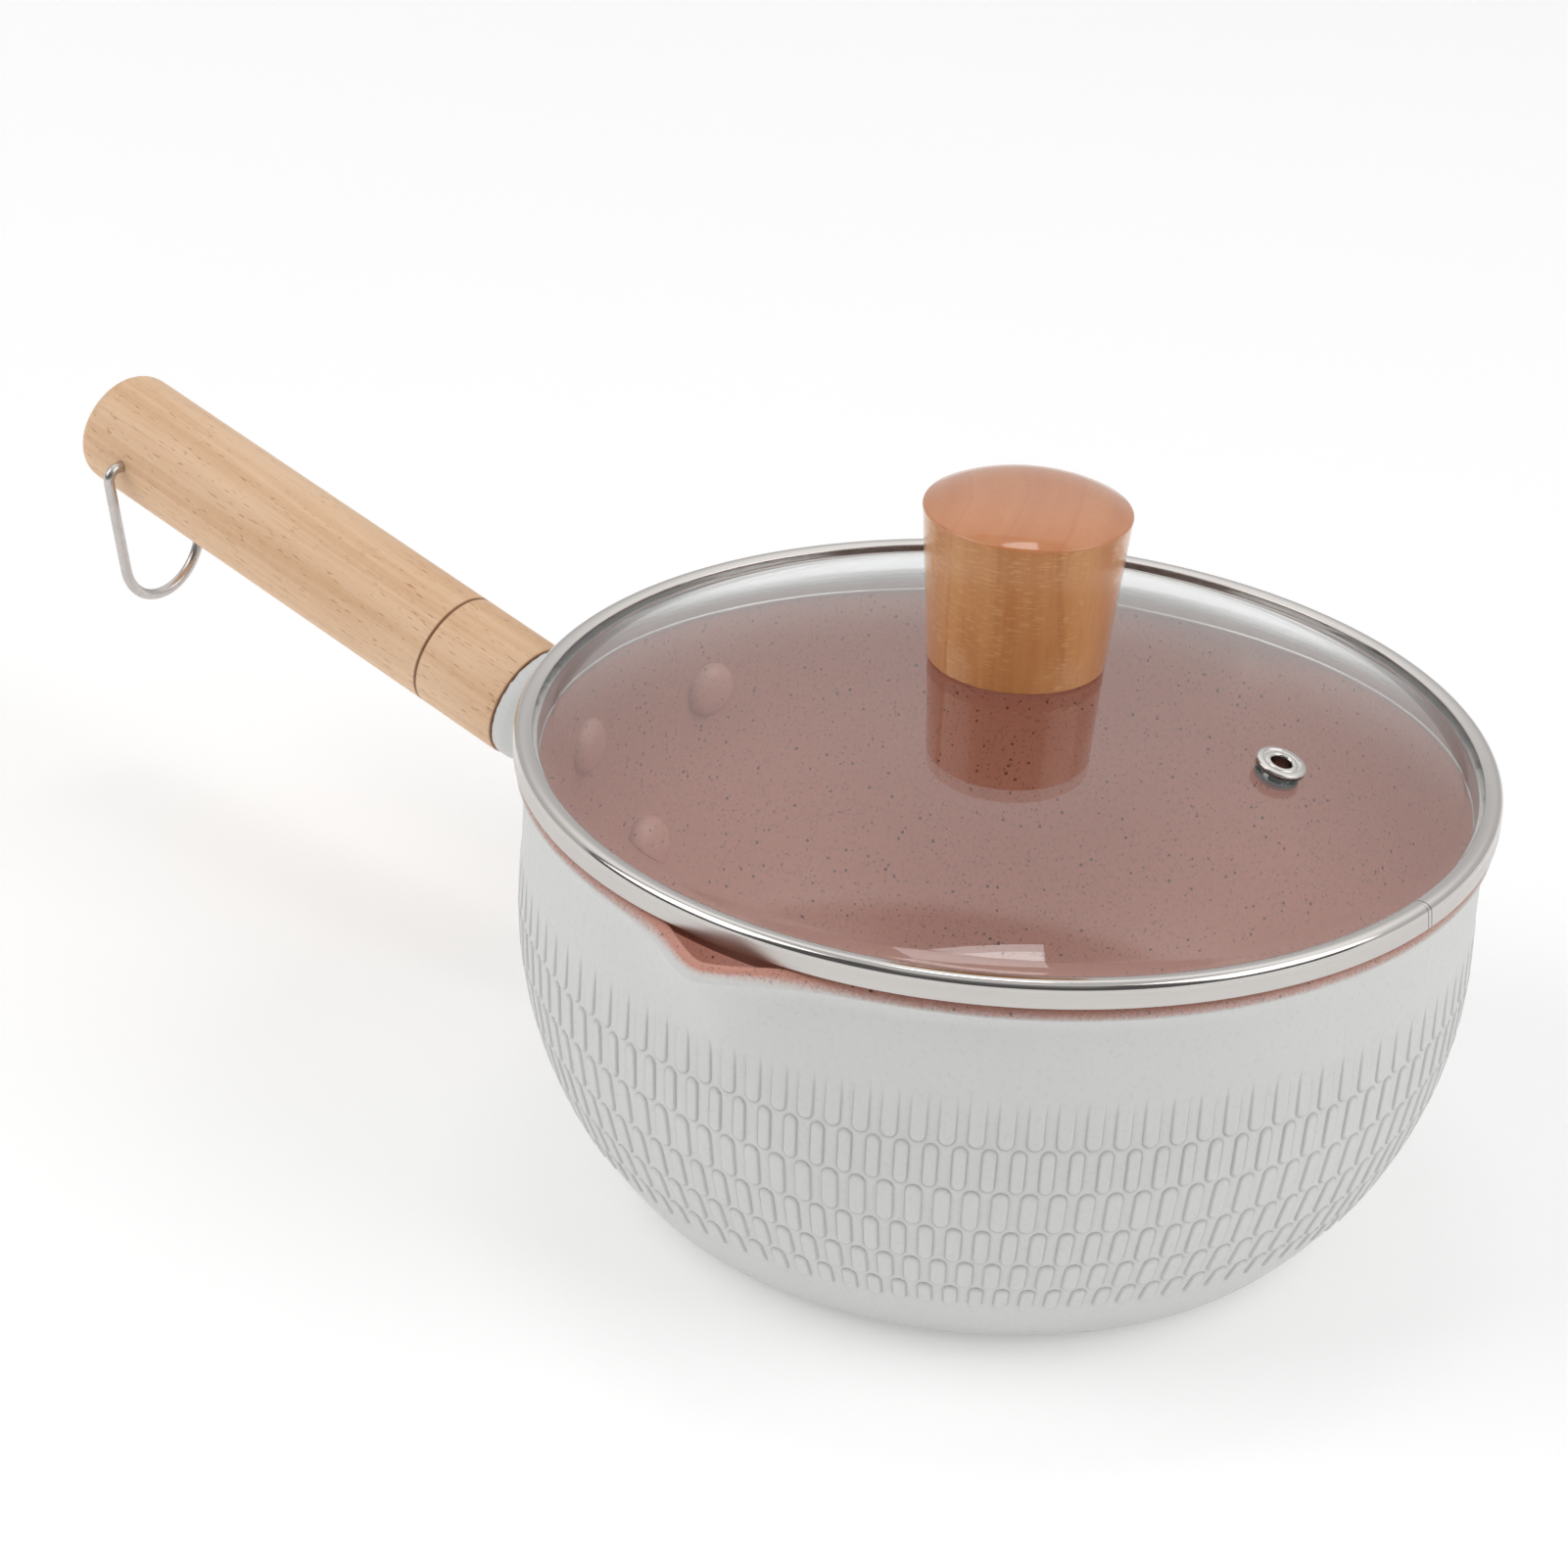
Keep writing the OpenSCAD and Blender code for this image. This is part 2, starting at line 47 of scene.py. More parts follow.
# Pan
WALL_R = 97.5            # outer radius of the straight wall
WALL_T = 2.2
FLOOR_T = 4.0
PAN_H = 91.5
BOWL_H = 60.0            # below this height the wall curves in
BOWL_R = 82.0
CORNER_R = 14.0          # between the bowl and the flat base
INNER_CORNER_R = 12.0
LIP_OUT = 99.3           # outermost radius of the lip
LIP_EDGE_Z = 88.9        # height of the lip's outer edge
LIP_IN = 96.0            # where the lip's round top meets the inside
LIP_FOOT_Z = 85.2        # where the wall starts to flare into the lip
LIP_FLARE = 1.8          # power of the flare's curve
LIP_COAT = 0.55          # share of the lip's round top over which white gives way to pink
COAT_POWER = 0.35        # the pink starts early on the lip, and late on the spouts
COAT_POWER_SPOUT = 1.9
PLATE_R = 54.05          # recess of the induction plate
PLATE_Z = 0.85

# Spouts
SPOUT_TURN = 93.9        # degrees from the handle
SPOUT_REACH = 10.8
SPOUT_WIDTH = 7.6        # degrees
SPOUT_POWER = 1.5        # of its curve round the pan
SPOUT_LOW_Z = 60.0
SPOUT_SWELL = 2.2        # power of its curve up the wall

# Raised pads on the outside: (top, bottom, width) of each row
PADS = 110
PAD_ROWS = [(70.0, 59.6, 2.95), (59.6, 49.7, 2.4), (49.7, 39.9, 2.95),
            (39.9, 30.8, 2.65), (30.8, 23.0, 2.85), (23.0, 16.6, 2.55)]
PAD_RISE = 0.4
PAD_EDGE = 0.2           # half the width of a pad's sloping edge
PAD_GROOVE = 0.18        # depth of the soft groove round a pad
PAD_TOP_Z = PAD_ROWS[0][0]
PAD_FADE = 5.0           # the top row's pads fade out over this height
PAD_ENDS = [0.0, 0.3, 0.6, 1.0, 1.7]     # mesh rows near a pad's end
# Mesh columns across half a pitch, in quarters of a pitch
PAD_COLUMNS = [0.0, 0.43, 0.71, 0.86, 1.0, 1.14, 1.29, 1.57]
COARSE = 4               # fine columns to one coarse column

# Pegs of the base, in the induction plate's holes
PEG_R = 1.95
PEG_RINGS = 3
PEG_FIRST_R, PEG_STEP_R, PEG_FIRST_COUNT = 16.0, 13.0, 8

# Handle
HANDLE_X, HANDLE_Z = 126.85, 61.5        # where the grip meets the bracket
HANDLE_SLOPE = 12.15     # degrees
GRIP_R = 13.2
GRIP_LEN = 131.9
GRIP_END_R = 5.5
GROOVE_S = 22.75         # distances along the grip, of its turned line and its cross hole
LOOP_S = 116.2
# The turned line's shape: (distance along the grip from its middle, depth)
GROOVE_SHAPE = [(-0.45, 0.0), (-0.33, 0.08), (-0.12, 0.4), (0.0, 0.46), (0.12, 0.4), (0.33, 0.08),
                (0.45, 0.0)]
STUD_R, STUD_LEN = 3.45, 37.0

# Rivets: name, degrees from the handle, height, and how far the head stands off the curved wall
RIVETS = [("rivet_upper_left", 12.3, 69.0, 0.0), ("rivet_upper_right", -12.3, 69.0, 0.0),
          ("rivet_lower", 0.0, 38.5, 0.8)]
RIVET_SHANK_R = 2.45

# Hanging loop
WIRE_R = 1.25
ELBOW_OUT, ELBOW_R = 14.5, 2.5
LOOP_DROP, LOOP_R = 23.8, 12.0

# Lid
SEAT_Z = 91.7
RIM_R = 100.0
RIM_TOP_Z = 97.2
RIM_T = 0.5
FLANGE_R = 96.2
SKIRT_R = 95.0
SKIRT_Z = 87.2
SATIN_Z = 95.3           # the rim is polished above this height and satin below it
SEAM_TURN = -179.5       # degrees from the handle to the rim's weld
SEAM_SLANT = 0.22
GLASS_R = 230.0          # of its dome
GLASS_T = 4.0
GLASS_TOP_Z = 116.8
GLASS_EDGE_R = 99.3
GLASS_EDGE_ROUND = 1.0
KNOB_HOLE_R = 4.05
VENT_X = 59.0
VENT_TURN = 189.0
VENT_HOLE_R = 3.2
VENT_R = 2.1
VENT_FLANGE_R = 5.1
VENT_UNDER = 1.0         # from the glass's lower face to the clinched end, past gasket and washer

# Knob
KNOB_Z = 117.2
KNOB_FOOT_R = 18.1
KNOB_TOP_R = 21.0
KNOB_SIDE_H = 31.7
KNOB_DOME_H = 3.6
KNOB_DOME_POWER = 3.3    # of the dome's curve: flat in the middle, and steeper near its edge
KNOB_SHOULDER = 1.1
KNOB_CREASE = 6.2        # degrees: the edge between side and top stays crisp
INSERT_R, INSERT_LEN = 5.05, 14.5


# ---------------------------------------------------------------- camera

CAMERA_TURN = 143        # degrees between the picture's right and the handle
CAMERA_TILT = math.radians(27.05)
CAMERA_ROLL = math.radians(3.61)
CAMERA_AWAY = 990.4
CAMERA_RIGHT = -45.4
CAMERA_UP = -8.8
CAMERA_LENS = 112.43


def make_camera():
    """The camera, placed by its distance and aim from the centre of the lid's rim."""
    across = Vector((1, 0, 0))
    up = Vector((0, math.sin(CAMERA_TILT), math.cos(CAMERA_TILT)))
    ahead = Vector((0, math.cos(CAMERA_TILT), -math.sin(CAMERA_TILT)))
    right = across * math.cos(CAMERA_ROLL) + up * math.sin(CAMERA_ROLL)
    top = up * math.cos(CAMERA_ROLL) - across * math.sin(CAMERA_ROLL)
    place = right * CAMERA_RIGHT + top * CAMERA_UP - ahead * CAMERA_AWAY
    data = bpy.data.cameras.new("camera")
    data.lens = CAMERA_LENS
    data.sensor_width = 36
    camera = bpy.data.objects.new("camera", data)
    bpy.context.scene.collection.objects.link(camera)
    axes = Matrix((right, top, -ahead)).transposed().to_4x4()
    centre = Matrix.Translation((0, 0, RIM_TOP_Z * MM))
    swing = Matrix.Rotation(math.radians(-CAMERA_TURN), 4, "Z")
    camera.matrix_world = centre @ swing @ Matrix.Translation(place * MM) @ axes
    bpy.context.scene.camera = camera


make_camera()


# ---------------------------------------------------------------- mesh helpers

def arc(x, z, r, a, b, n, rz=None):
    """Points on an arc, or part of an ellipse, about (x, z) from angle a to angle b in degrees."""
    rz = r if rz is None else rz
    turns = np.radians(np.linspace(a, b, n + 1))
    return [(x + r * math.cos(t), z + rz * math.sin(t)) for t in turns]


def mark_sharp(mesh, angle):
    """Smooth shading, with an edge kept sharp where its two faces meet at more than angle degrees."""
    b = bmesh.new()
    b.from_mesh(mesh)
    bmesh.ops.recalc_face_normals(b, faces=b.faces)
    for f in b.faces:
        f.smooth = True
    for e in b.edges:
        if len(e.link_faces) == 2:      # an open edge has no angle
            e.smooth = e.calc_face_angle(0) < math.radians(angle)
    b.to_mesh(mesh)
    b.free()


def make_piece(name, verts, faces, body, nodes, slot, material, matrix=None, angle=32):
    """A mesh object from points in millimetres, which rides on a body and stands for CAD nodes."""
    mesh = bpy.data.meshes.new(name)
    mesh.from_pydata([tuple(np.array(v, float) * MM) for v in verts], [], faces)
    mark_sharp(mesh, angle)
    mesh.materials.append(material)
    piece = bpy.data.objects.new(name, mesh)
    bpy.context.scene.collection.objects.link(piece)
    if matrix is not None:
        piece.matrix_world = matrix
    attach(piece, body)
    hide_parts(*nodes)
    return piece


def lathe(profile, steps, closed=False):
    """Points and faces of a profile of (r, z) turned about Z. A point with r of 0 becomes a pole."""
    verts, faces, rings = [], [], []
    for r, z in profile:
        start = len(verts)
        if r < 1e-6:
            verts.append((0, 0, z))
            rings.append([start] * steps)
            continue
        for i in range(steps):
            a = 2 * math.pi * i / steps
            verts.append((r * math.cos(a), r * math.sin(a), z))
        rings.append(list(range(start, start + steps)))
    pairs = list(zip(rings, rings[1:]))
    if closed:
        pairs.append((rings[-1], rings[0]))
    for low, high in pairs:
        for i in range(steps):
            j = (i + 1) % steps
            corners = [low[i], low[j], high[j], high[i]]
            face = [c for k, c in enumerate(corners) if c not in corners[:k]]
            if len(face) > 2:
                faces.append(face)
    return verts, faces


def sweep(points, r, sides):
    """Points and faces of a round wire along a line of points that doesn't close, with flat ends."""
    points = [Vector(p) for p in points]
    verts, faces = [], []
    side = None
    for i, p in enumerate(points):
        ahead = (points[min(i + 1, len(points) - 1)] - points[max(i - 1, 0)]).normalized()
        if side is None:
            side = ahead.orthogonal().normalized()
        side = (side - ahead * side.dot(ahead)).normalized()
        other = ahead.cross(side)
        for k in range(sides):
            a = 2 * math.pi * k / sides
            verts.append(tuple(p + (side * math.cos(a) + other * math.sin(a)) * r))
    for i in range(len(points) - 1):
        for k in range(sides):
            n = (k + 1) % sides
            faces.append([i * sides + k, i * sides + n, (i + 1) * sides + n, (i + 1) * sides + k])
    faces.append(list(range(sides)))
    faces.append([(len(points) - 1) * sides + k for k in range(sides)])
    return verts, faces


def join_shapes(*shapes):
    """Several (points, faces) pairs as one."""
    verts, faces = [], []
    for v, f in shapes:
        start = len(verts)
        verts.extend(v)
        faces.extend([[i + start for i in face] for face in f])
    return verts, faces


def placed(shape, matrix):
    """A shape with its points, in millimetres, moved by a matrix."""
    return [tuple(matrix @ Vector(v)) for v in shape[0]], shape[1]


def cut(piece, shape, matrix):
    """Cuts a closed shape, given in millimetres in its own frame, out of a piece."""
    mesh = bpy.data.meshes.new("cutter")
    mesh.from_pydata([tuple(np.array(v, float) * MM) for v in shape[0]], [], shape[1])
    mark_sharp(mesh, 30)
    tool = bpy.data.objects.new("cutter", mesh)
    bpy.context.scene.collection.objects.link(tool)
    tool.matrix_world = matrix
    modifier = piece.modifiers.new("hole", "BOOLEAN")
    modifier.operation = "DIFFERENCE"
    modifier.solver = "EXACT"
    modifier.object = tool
    bpy.context.view_layer.update()
    graph = bpy.context.evaluated_depsgraph_get()
    result = bpy.data.meshes.new_from_object(piece.evaluated_get(graph))
    piece.modifiers.clear()
    old = piece.data
    piece.data = result
    bpy.data.meshes.remove(old)
    bpy.data.objects.remove(tool)
    mark_sharp(piece.data, 32)


# ---------------------------------------------------------------- frames of the sub-parts

def turn(degrees, axis):
    return Matrix.Rotation(math.radians(degrees), 4, axis)


def move(x, y, z):
    return Matrix.Translation((x, y, z))


def on_handle(s):
    """Frame on the handle's axis, s millimetres from the joint, with Z along the axis."""
    return move(HANDLE_X * MM, 0, HANDLE_Z * MM) @ turn(90 - HANDLE_SLOPE, "Y") @ move(0, 0, s * MM)


def at_vent():
    """Frame on the glass at the vent, with Z out of the glass."""
    lean = math.degrees(math.asin(VENT_X / GLASS_R))
    centre = (GLASS_TOP_Z - GLASS_R) * MM
    return move(0, 0, centre) @ turn(VENT_TURN, "Z") @ turn(lean, "Y") @ move(0, 0, GLASS_R * MM)


SIDE_X = WALL_R - BOWL_R
CORNER_REACH = BOWL_R - CORNER_R
CORNER_RISE = BOWL_H - CORNER_R
CORNER_X = SIDE_X + math.sqrt(CORNER_REACH ** 2 - CORNER_RISE ** 2)
CORNER_TURN = math.degrees(math.asin(CORNER_RISE / CORNER_REACH))


def wall_r(z):
    """Outer radius of the pan's wall at height z on the bowl or above it."""
    return WALL_R if z > BOWL_H else SIDE_X + math.sqrt(BOWL_R ** 2 - (BOWL_H - z) ** 2)


def meridian(z):
    """Distance along the outer face from the top of the bowl up to height z."""
    return z - BOWL_H if z > BOWL_H else -BOWL_R * math.asin((BOWL_H - z) / BOWL_R)


def meridian_height(s):
    """Height at that distance along the outer face."""
    return BOWL_H + (s if s > 0 else BOWL_R * math.sin(s / BOWL_R))


def at_rivet(round_turn, z):
    """Frame on the pan's outer face at a rivet, with Z out of the wall."""
    lean = 0 if z > BOWL_H else math.degrees(math.asin((BOWL_H - z) / BOWL_R))
    place = move(wall_r(z) * MM, 0, z * MM)
    return turn(round_turn, "Z") @ place @ turn(lean, "Y") @ turn(90, "Y")


# ---------------------------------------------------------------- materials

class Graph:
    """A material's node tree, with short calls for the nodes that are used here."""

    def __init__(self, name, world=False):
        self.material = bpy.data.worlds.new(name) if world else bpy.data.materials.new(name)
        self.material.use_nodes = True
        self.tree = self.material.node_tree
        self.tree.nodes.clear()
        self.output = self.node("OutputWorld" if world else "OutputMaterial")

    def node(self, kind, inputs=None, **settings):
        n = self.tree.nodes.new("ShaderNode" + kind)
        for k, v in settings.items():
            setattr(n, k, v)
        for k, v in (inputs or {}).items():
            self.put(n.inputs[k], v)
        return n

    def put(self, socket, value):
        if isinstance(value, bpy.types.NodeSocket):
            self.tree.links.new(value, socket)
        else:
            socket.default_value = value

    def math(self, operation, a, b=0.0):
        return self.node("Math", {0: a, 1: b}, operation=operation).outputs[0]

    def times(self, a, b):
        return self.math("MULTIPLY", a, b)

    def plus(self, a, b):
        return self.math("ADD", a, b)

    def minus(self, a, b):
        return self.math("SUBTRACT", a, b)

    def vector(self, operation, a, b):
        return self.node("VectorMath", {0: a, 1: b}, operation=operation).outputs[0]

    def scaled(self, vector, scale):
        return self.vector("MULTIPLY", vector, scale)

    def split(self, vector):
        """The x, y and z of a vector."""
        return self.node("SeparateXYZ", {0: vector}).outputs

    def warped(self, vector, scales, amount):
        """A vector pushed about by soft noise."""
        soft = self.node("TexNoise", {"Vector": self.scaled(vector, scales), "Scale": 1.0, "Detail": 2.0})
        return self.vector("ADD", vector, self.scaled(soft.outputs["Color"], amount))

    def noise(self, vector, scale, detail=2.0, roughness=0.5):
        inputs = {"Vector": vector, "Scale": scale, "Detail": detail, "Roughness": roughness}
        return self.node("TexNoise", inputs).outputs["Fac"]

    def ramp(self, value, low, high, smooth=True):
        """0 at low, 1 at high."""
        kind = "SMOOTHSTEP" if smooth else "LINEAR"
        inputs = {"Value": value, "From Min": low, "From Max": high}
        return self.node("MapRange", inputs, interpolation_type=kind).outputs["Result"]

    def between(self, value, low, high):
        """value from 0..1 carried over to low..high."""
        return self.node("MapRange", {"Value": value, "To Min": low, "To Max": high}).outputs["Result"]

    def mix(self, factor, a, b):
        """The colour a where the factor is 0, and b where it is 1."""
        n = self.node("Mix", data_type="RGBA")
        self.put(n.inputs[0], factor)
        self.put(n.inputs[6], a)
        self.put(n.inputs[7], b)
        return n.outputs[2]

    def bump(self, height, distance, strength=1.0, normal=None):
        inputs = {"Height": height, "Distance": distance, "Strength": strength}
        if normal is not None:
            inputs["Normal"] = normal
        return self.node("Bump", inputs).outputs[0]

    def place(self):
        """The point on the piece, in its own frame."""
        return self.node("TexCoord").outputs["Object"]

    def round_place(self, radius):
        """(distance round the Z axis at that radius, distance from the axis, height) of the point."""
        x, y, z = self.split(self.place())
        around = self.times(self.math("ARCTAN2", y, x), radius)
        flat = self.node("CombineXYZ", {0: x, 1: y})
        away = self.node("VectorMath", {0: flat.outputs[0]}, operation="LENGTH").outputs["Value"]
        return self.node("CombineXYZ", {0: around, 1: away, 2: z}).outputs[0]

    def principled(self, **inputs):
        names = {k.replace("_", " "): v for k, v in inputs.items()}
        shader = self.node("BsdfPrincipled", names)
        self.tree.links.new(shader.outputs[0], self.output.inputs[0])
        return shader


def srgb(r, g, b):
    """A colour given as it looks on screen, 0 to 255, as linear light."""
    def linear(c):
        c = c / 255
        return c / 12.92 if c <= 0.04045 else ((c + 0.055) / 1.055) ** 2.4
    return (linear(r), linear(g), linear(b), 1.0)


GROOVE_SHADE_OFF = 0.12       # in millimetres: the painted shade line's middle lies this far outside a pad, in its groove
GROOVE_SHADE_HALF = 0.34
OUTER_PALE = srgb(221, 221, 219)
OUTER_DIM = srgb(215, 215, 213)
INNER_PINK = srgb(204, 146, 129)
INNER_DEEP = srgb(196, 137, 121)
SPECK_DARK = srgb(84, 52, 44)
SPECK_GREY = srgb(118, 86, 78)
# Specks: width, distance apart, share left out, and the pattern's own shift
SMALL_SPECKS = (0.00062, 0.001, 0.1, 3.1)
LARGE_SPECKS = (0.00095, 0.0018, 0.2, 7.7)


def speckles(g, place, size, gap, share, shift):
    """1 inside dark spots about size wide and gap apart, of which a share are left out."""
    offset = (shift, shift * 0.7, shift * 0.3)
    shifted = g.vector("ADD", place, offset)
    wobble = g.node("TexNoise", {"Vector": shifted, "Scale": 2.2 / size, "Detail": 1.0})
    point = g.vector("ADD", shifted, g.scaled(wobble.outputs["Color"], (size * 0.5,) * 3))
    cells = g.node("TexVoronoi", {"Vector": point, "Scale": 1 / gap, "Randomness": 1.0})
    chance = g.node("SeparateColor", {0: cells.outputs["Color"]})
    radius = g.times(g.ramp(chance.outputs[0], share, 1.0, False), size / gap * 0.5)
    inside = g.minus(radius, cells.outputs["Distance"])
    return g.ramp(inside, 0.0, size / gap * 0.12)


def pink_coating(g, place):
    """Colour and roughness of the speckled pink non-stick coating."""
    cloud = g.noise(place, 55, 3.0, 0.6)
    colour = g.mix(cloud, INNER_PINK, INNER_DEEP)
    fine = g.ramp(g.noise(place, 1500, 2.0, 0.6), 0.54, 0.68)
    colour = g.mix(g.times(fine, 0.35), colour, SPECK_GREY)
    small = speckles(g, place, *SMALL_SPECKS)
    colour = g.mix(g.times(small, 0.75), colour, SPECK_GREY)
    large = speckles(g, place, *LARGE_SPECKS)
    colour = g.mix(g.times(large, 0.9), colour, SPECK_DARK)
    rough = g.between(g.noise(place, 300, 2.0), 0.3, 0.42)
    return colour, rough


def white_coating(g, place):
    """Colour and roughness of the fine matt off-white coating."""
    cloud = g.noise(place, 40, 4.0, 0.6)
    grain = g.noise(place, 900, 2.0, 0.6)
    colour = g.mix(cloud, OUTER_PALE, OUTER_DIM)
    colour = g.mix(g.times(g.ramp(grain, 0.5, 0.75), 0.25), colour, srgb(196, 196, 193))
    rough = g.between(grain, 0.42, 0.56)
    return colour, rough


def pad_groove_shade(g):
    """1 along the soft line round each raised pad: painted shade in the groove round it."""
    around = g.split(g.round_place(1.0))
    angle, height = around[0], around[2]
    pitch = 2 * math.pi / PADS
    groove_shade = 0.0
    for k, (top, low, width) in enumerate(PAD_ROWS):
        middle = (top + low) / 2
        steps = g.plus(g.times(angle, 1 / pitch), k / 2 + 0.5)
        off = g.math("ABSOLUTE", g.minus(g.math("FRACT", steps), 0.5))
        across = g.times(off, pitch * wall_r(middle) * MM)
        length = meridian(top) - meridian(low)
        along = g.minus(height, middle * MM)
        stretch = length / (top - low)
        if k == 0:
            # The top row's pads have no upper ends.
            along = g.times(along, -stretch)
        else:
            along = g.math("ABSOLUTE", g.times(along, stretch))
        reach = length / 2 - width / 2 - PAD_EDGE
        beyond = g.math("MAXIMUM", g.minus(along, reach * MM), 0.0)
        squares = g.plus(g.times(across, across), g.times(beyond, beyond))
        gap = g.math("SQRT", squares)
        gap = g.math("ABSOLUTE", g.minus(gap, (width / 2 + GROOVE_SHADE_OFF) * MM))
        line = g.minus(1.0, g.ramp(gap, 0.0, GROOVE_SHADE_HALF * MM))
        groove_shade = g.math("MAXIMUM", groove_shade, line)
    fade = g.ramp(height, (PAD_TOP_Z + 1) * MM, (PAD_TOP_Z + 1 - PAD_FADE) * MM)
    return g.times(groove_shade, fade)


def make_pan_material():
    """Off-white outside, pink inside, with a grainy fade between them on the lip."""
    g = Graph("pan_coating")
    place = g.place()
    outer_colour, outer_rough = white_coating(g, place)
    # Painted shade: a grey line darkens the groove round each pad.
    outer_colour = g.mix(g.times(pad_groove_shade(g), 0.4), outer_colour, srgb(166, 166, 166))
    inner_colour, inner_rough = pink_coating(g, place)
    coat = g.node("Attribute", attribute_name="coat").outputs["Fac"]
    spray = g.times(g.minus(g.noise(place, 1700, 3.0, 0.7), 0.5), 1.1)
    edge = g.times(coat, g.minus(1.0, coat))
    spray = g.times(spray, g.times(edge, 4.0))
    inside = g.ramp(g.plus(coat, spray), 0.0, 1.0)
    colour = g.mix(inside, outer_colour, inner_colour)
    rough = g.node("Mix", {0: inside, 2: outer_rough, 3: inner_rough}).outputs[0]
    normal = g.bump(g.noise(place, 1400, 3.0, 0.6), 0.00003, 0.6)
    normal = g.bump(g.noise(place, 160, 2.0, 0.5), 0.00002, 0.4, normal)
    g.principled(Base_Color=colour, Roughness=rough, Normal=normal, Specular_IOR_Level=0.4)
    return g.material


def make_white_material():
    g = Graph("white_coating")
    place = g.place()
    colour, rough = white_coating(g, place)
    normal = g.bump(g.noise(place, 1200, 3.0, 0.6), 0.00003, 0.6)
    normal = g.bump(g.noise(place, 220, 2.0, 0.5), 0.0001, 0.5, normal)
    g.principled(Base_Color=colour, Roughness=rough, Normal=normal, Specular_IOR_Level=0.45)
    return g.material


def make_pink_material():
    """Rivets: pink coating on the head inside the pan, bare aluminium on the formed head outside."""
    g = Graph("rivet_coating")
    place = g.place()
    colour, rough = pink_coating(g, place)
    # The heads' pink is painted lighter than the pan's: a painted highlight for the light the domes catch.
    colour = g.mix(0.25, colour, srgb(240, 184, 168))
    bare = g.ramp(g.split(place)[2], 0.001, 0.0015)
    metal = g.mix(g.noise(place, 400, 3.0, 0.6), srgb(214, 214, 212), srgb(186, 186, 184))
    colour = g.mix(bare, colour, metal)
    normal = g.bump(g.noise(place, 700, 2.0, 0.5), 0.00005, 0.6)
    g.principled(Base_Color=colour, Metallic=g.times(bare, 0.8), Roughness=rough, Normal=normal)
    return g.material


def make_turned_steel(name, pale, dim, radius, rough, lines=0.35, satin_below=None, seam_turn=None):
    """Polished steel with fine lines that run round the piece's Z axis, satin below a height.
    A weld seam, if there is one, is two thin slanting lines at its turn in degrees."""
    g = Graph(name)
    around = g.round_place(radius)
    brush = g.noise(g.scaled(around, (60, 9000, 9000)), 1.0, 3.0, 0.65)
    cloud = g.noise(g.place(), 90, 3.0, 0.6)
    colour = g.mix(g.times(brush, 0.6), pale, dim)
    colour = g.mix(g.times(cloud, 0.25), colour, dim)
    mottle = g.plus(g.times(brush, 0.6), g.times(cloud, 0.4))
    roughness = g.between(mottle, rough * 0.75, rough * 1.3)
    if satin_below is not None:
        satin = g.ramp(g.split(around)[2], satin_below + 0.0005, satin_below - 0.0005)
        roughness = g.plus(roughness, g.times(satin, 0.2))
    if seam_turn is not None:
        parts = g.split(around)
        slant = g.plus(parts[0], g.times(parts[2], SEAM_SLANT))
        middle = math.radians(seam_turn) * radius + SEAM_SLANT * satin_below
        off = g.math("ABSOLUTE", g.minus(slant, middle))
        half_apart = 0.0006
        off = g.math("ABSOLUTE", g.minus(off, half_apart))
        line = g.ramp(off, 0.0003, 0.0001)
        colour = g.mix(g.times(line, 0.6), colour, (0.08, 0.075, 0.07, 1))
    normal = g.bump(brush, 0.000006, lines)
    g.principled(Base_Color=colour, Metallic=1.0, Roughness=roughness, Normal=normal)
    return g.material


def make_wire_steel():
    """Drawn steel wire: bright, with faint patchy wear."""
    g = Graph("wire_steel")
    place = g.place()
    cloud = g.noise(place, 240, 4.0, 0.6)
    colour = g.mix(cloud, srgb(214, 208, 204), srgb(184, 178, 175))
    g.principled(Base_Color=colour, Metallic=1.0, Roughness=g.between(cloud, 0.2, 0.36),
                 Normal=g.bump(g.noise(place, 2500, 2.0), 0.00001, 0.4))
    return g.material


def make_beech(name):
    """Oiled beech with its grain along the piece's Z axis: soft bands, fibres and short dark flecks."""
    g = Graph(name)
    place = g.place()
    point = g.warped(place, (30, 30, 8), (0.004, 0.004, 0))
    x, y, z = g.split(point)
    across = g.times(g.plus(x, g.times(y, 0.45)), 420)
    along = g.times(z, 6)
    band = g.noise(g.node("CombineXYZ", {0: across, 2: along}).outputs[0], 1.0, 2.0, 0.55)
    fibre = g.noise(g.scaled(point, (1500, 1500, 40)), 1.0, 3.0, 0.6)
    cloud = g.noise(g.scaled(place, (60, 60, 22)), 1.0, 2.0, 0.5)
    colour = g.mix(g.ramp(band, 0.35, 0.68), srgb(233, 196, 160), srgb(222, 180, 141))
    colour = g.mix(g.times(g.ramp(fibre, 0.45, 0.75), 0.35), colour, srgb(206, 161, 121))
    colour = g.mix(g.times(g.ramp(cloud, 0.4, 0.75), 0.4), colour, srgb(241, 209, 177))
    fleck = g.noise(g.scaled(place, (2600, 2600, 330)), 1.0, 1.0, 0.5)
    gap = g.noise(g.scaled(place, (500, 500, 200)), 1.0, 1.0, 0.5)
    fleck = g.times(g.ramp(fleck, 0.62, 0.72), g.ramp(gap, 0.38, 0.55))
    colour = g.mix(g.times(fleck, 0.7), colour, srgb(172, 118, 78))
    return g, place, colour, fibre, fleck


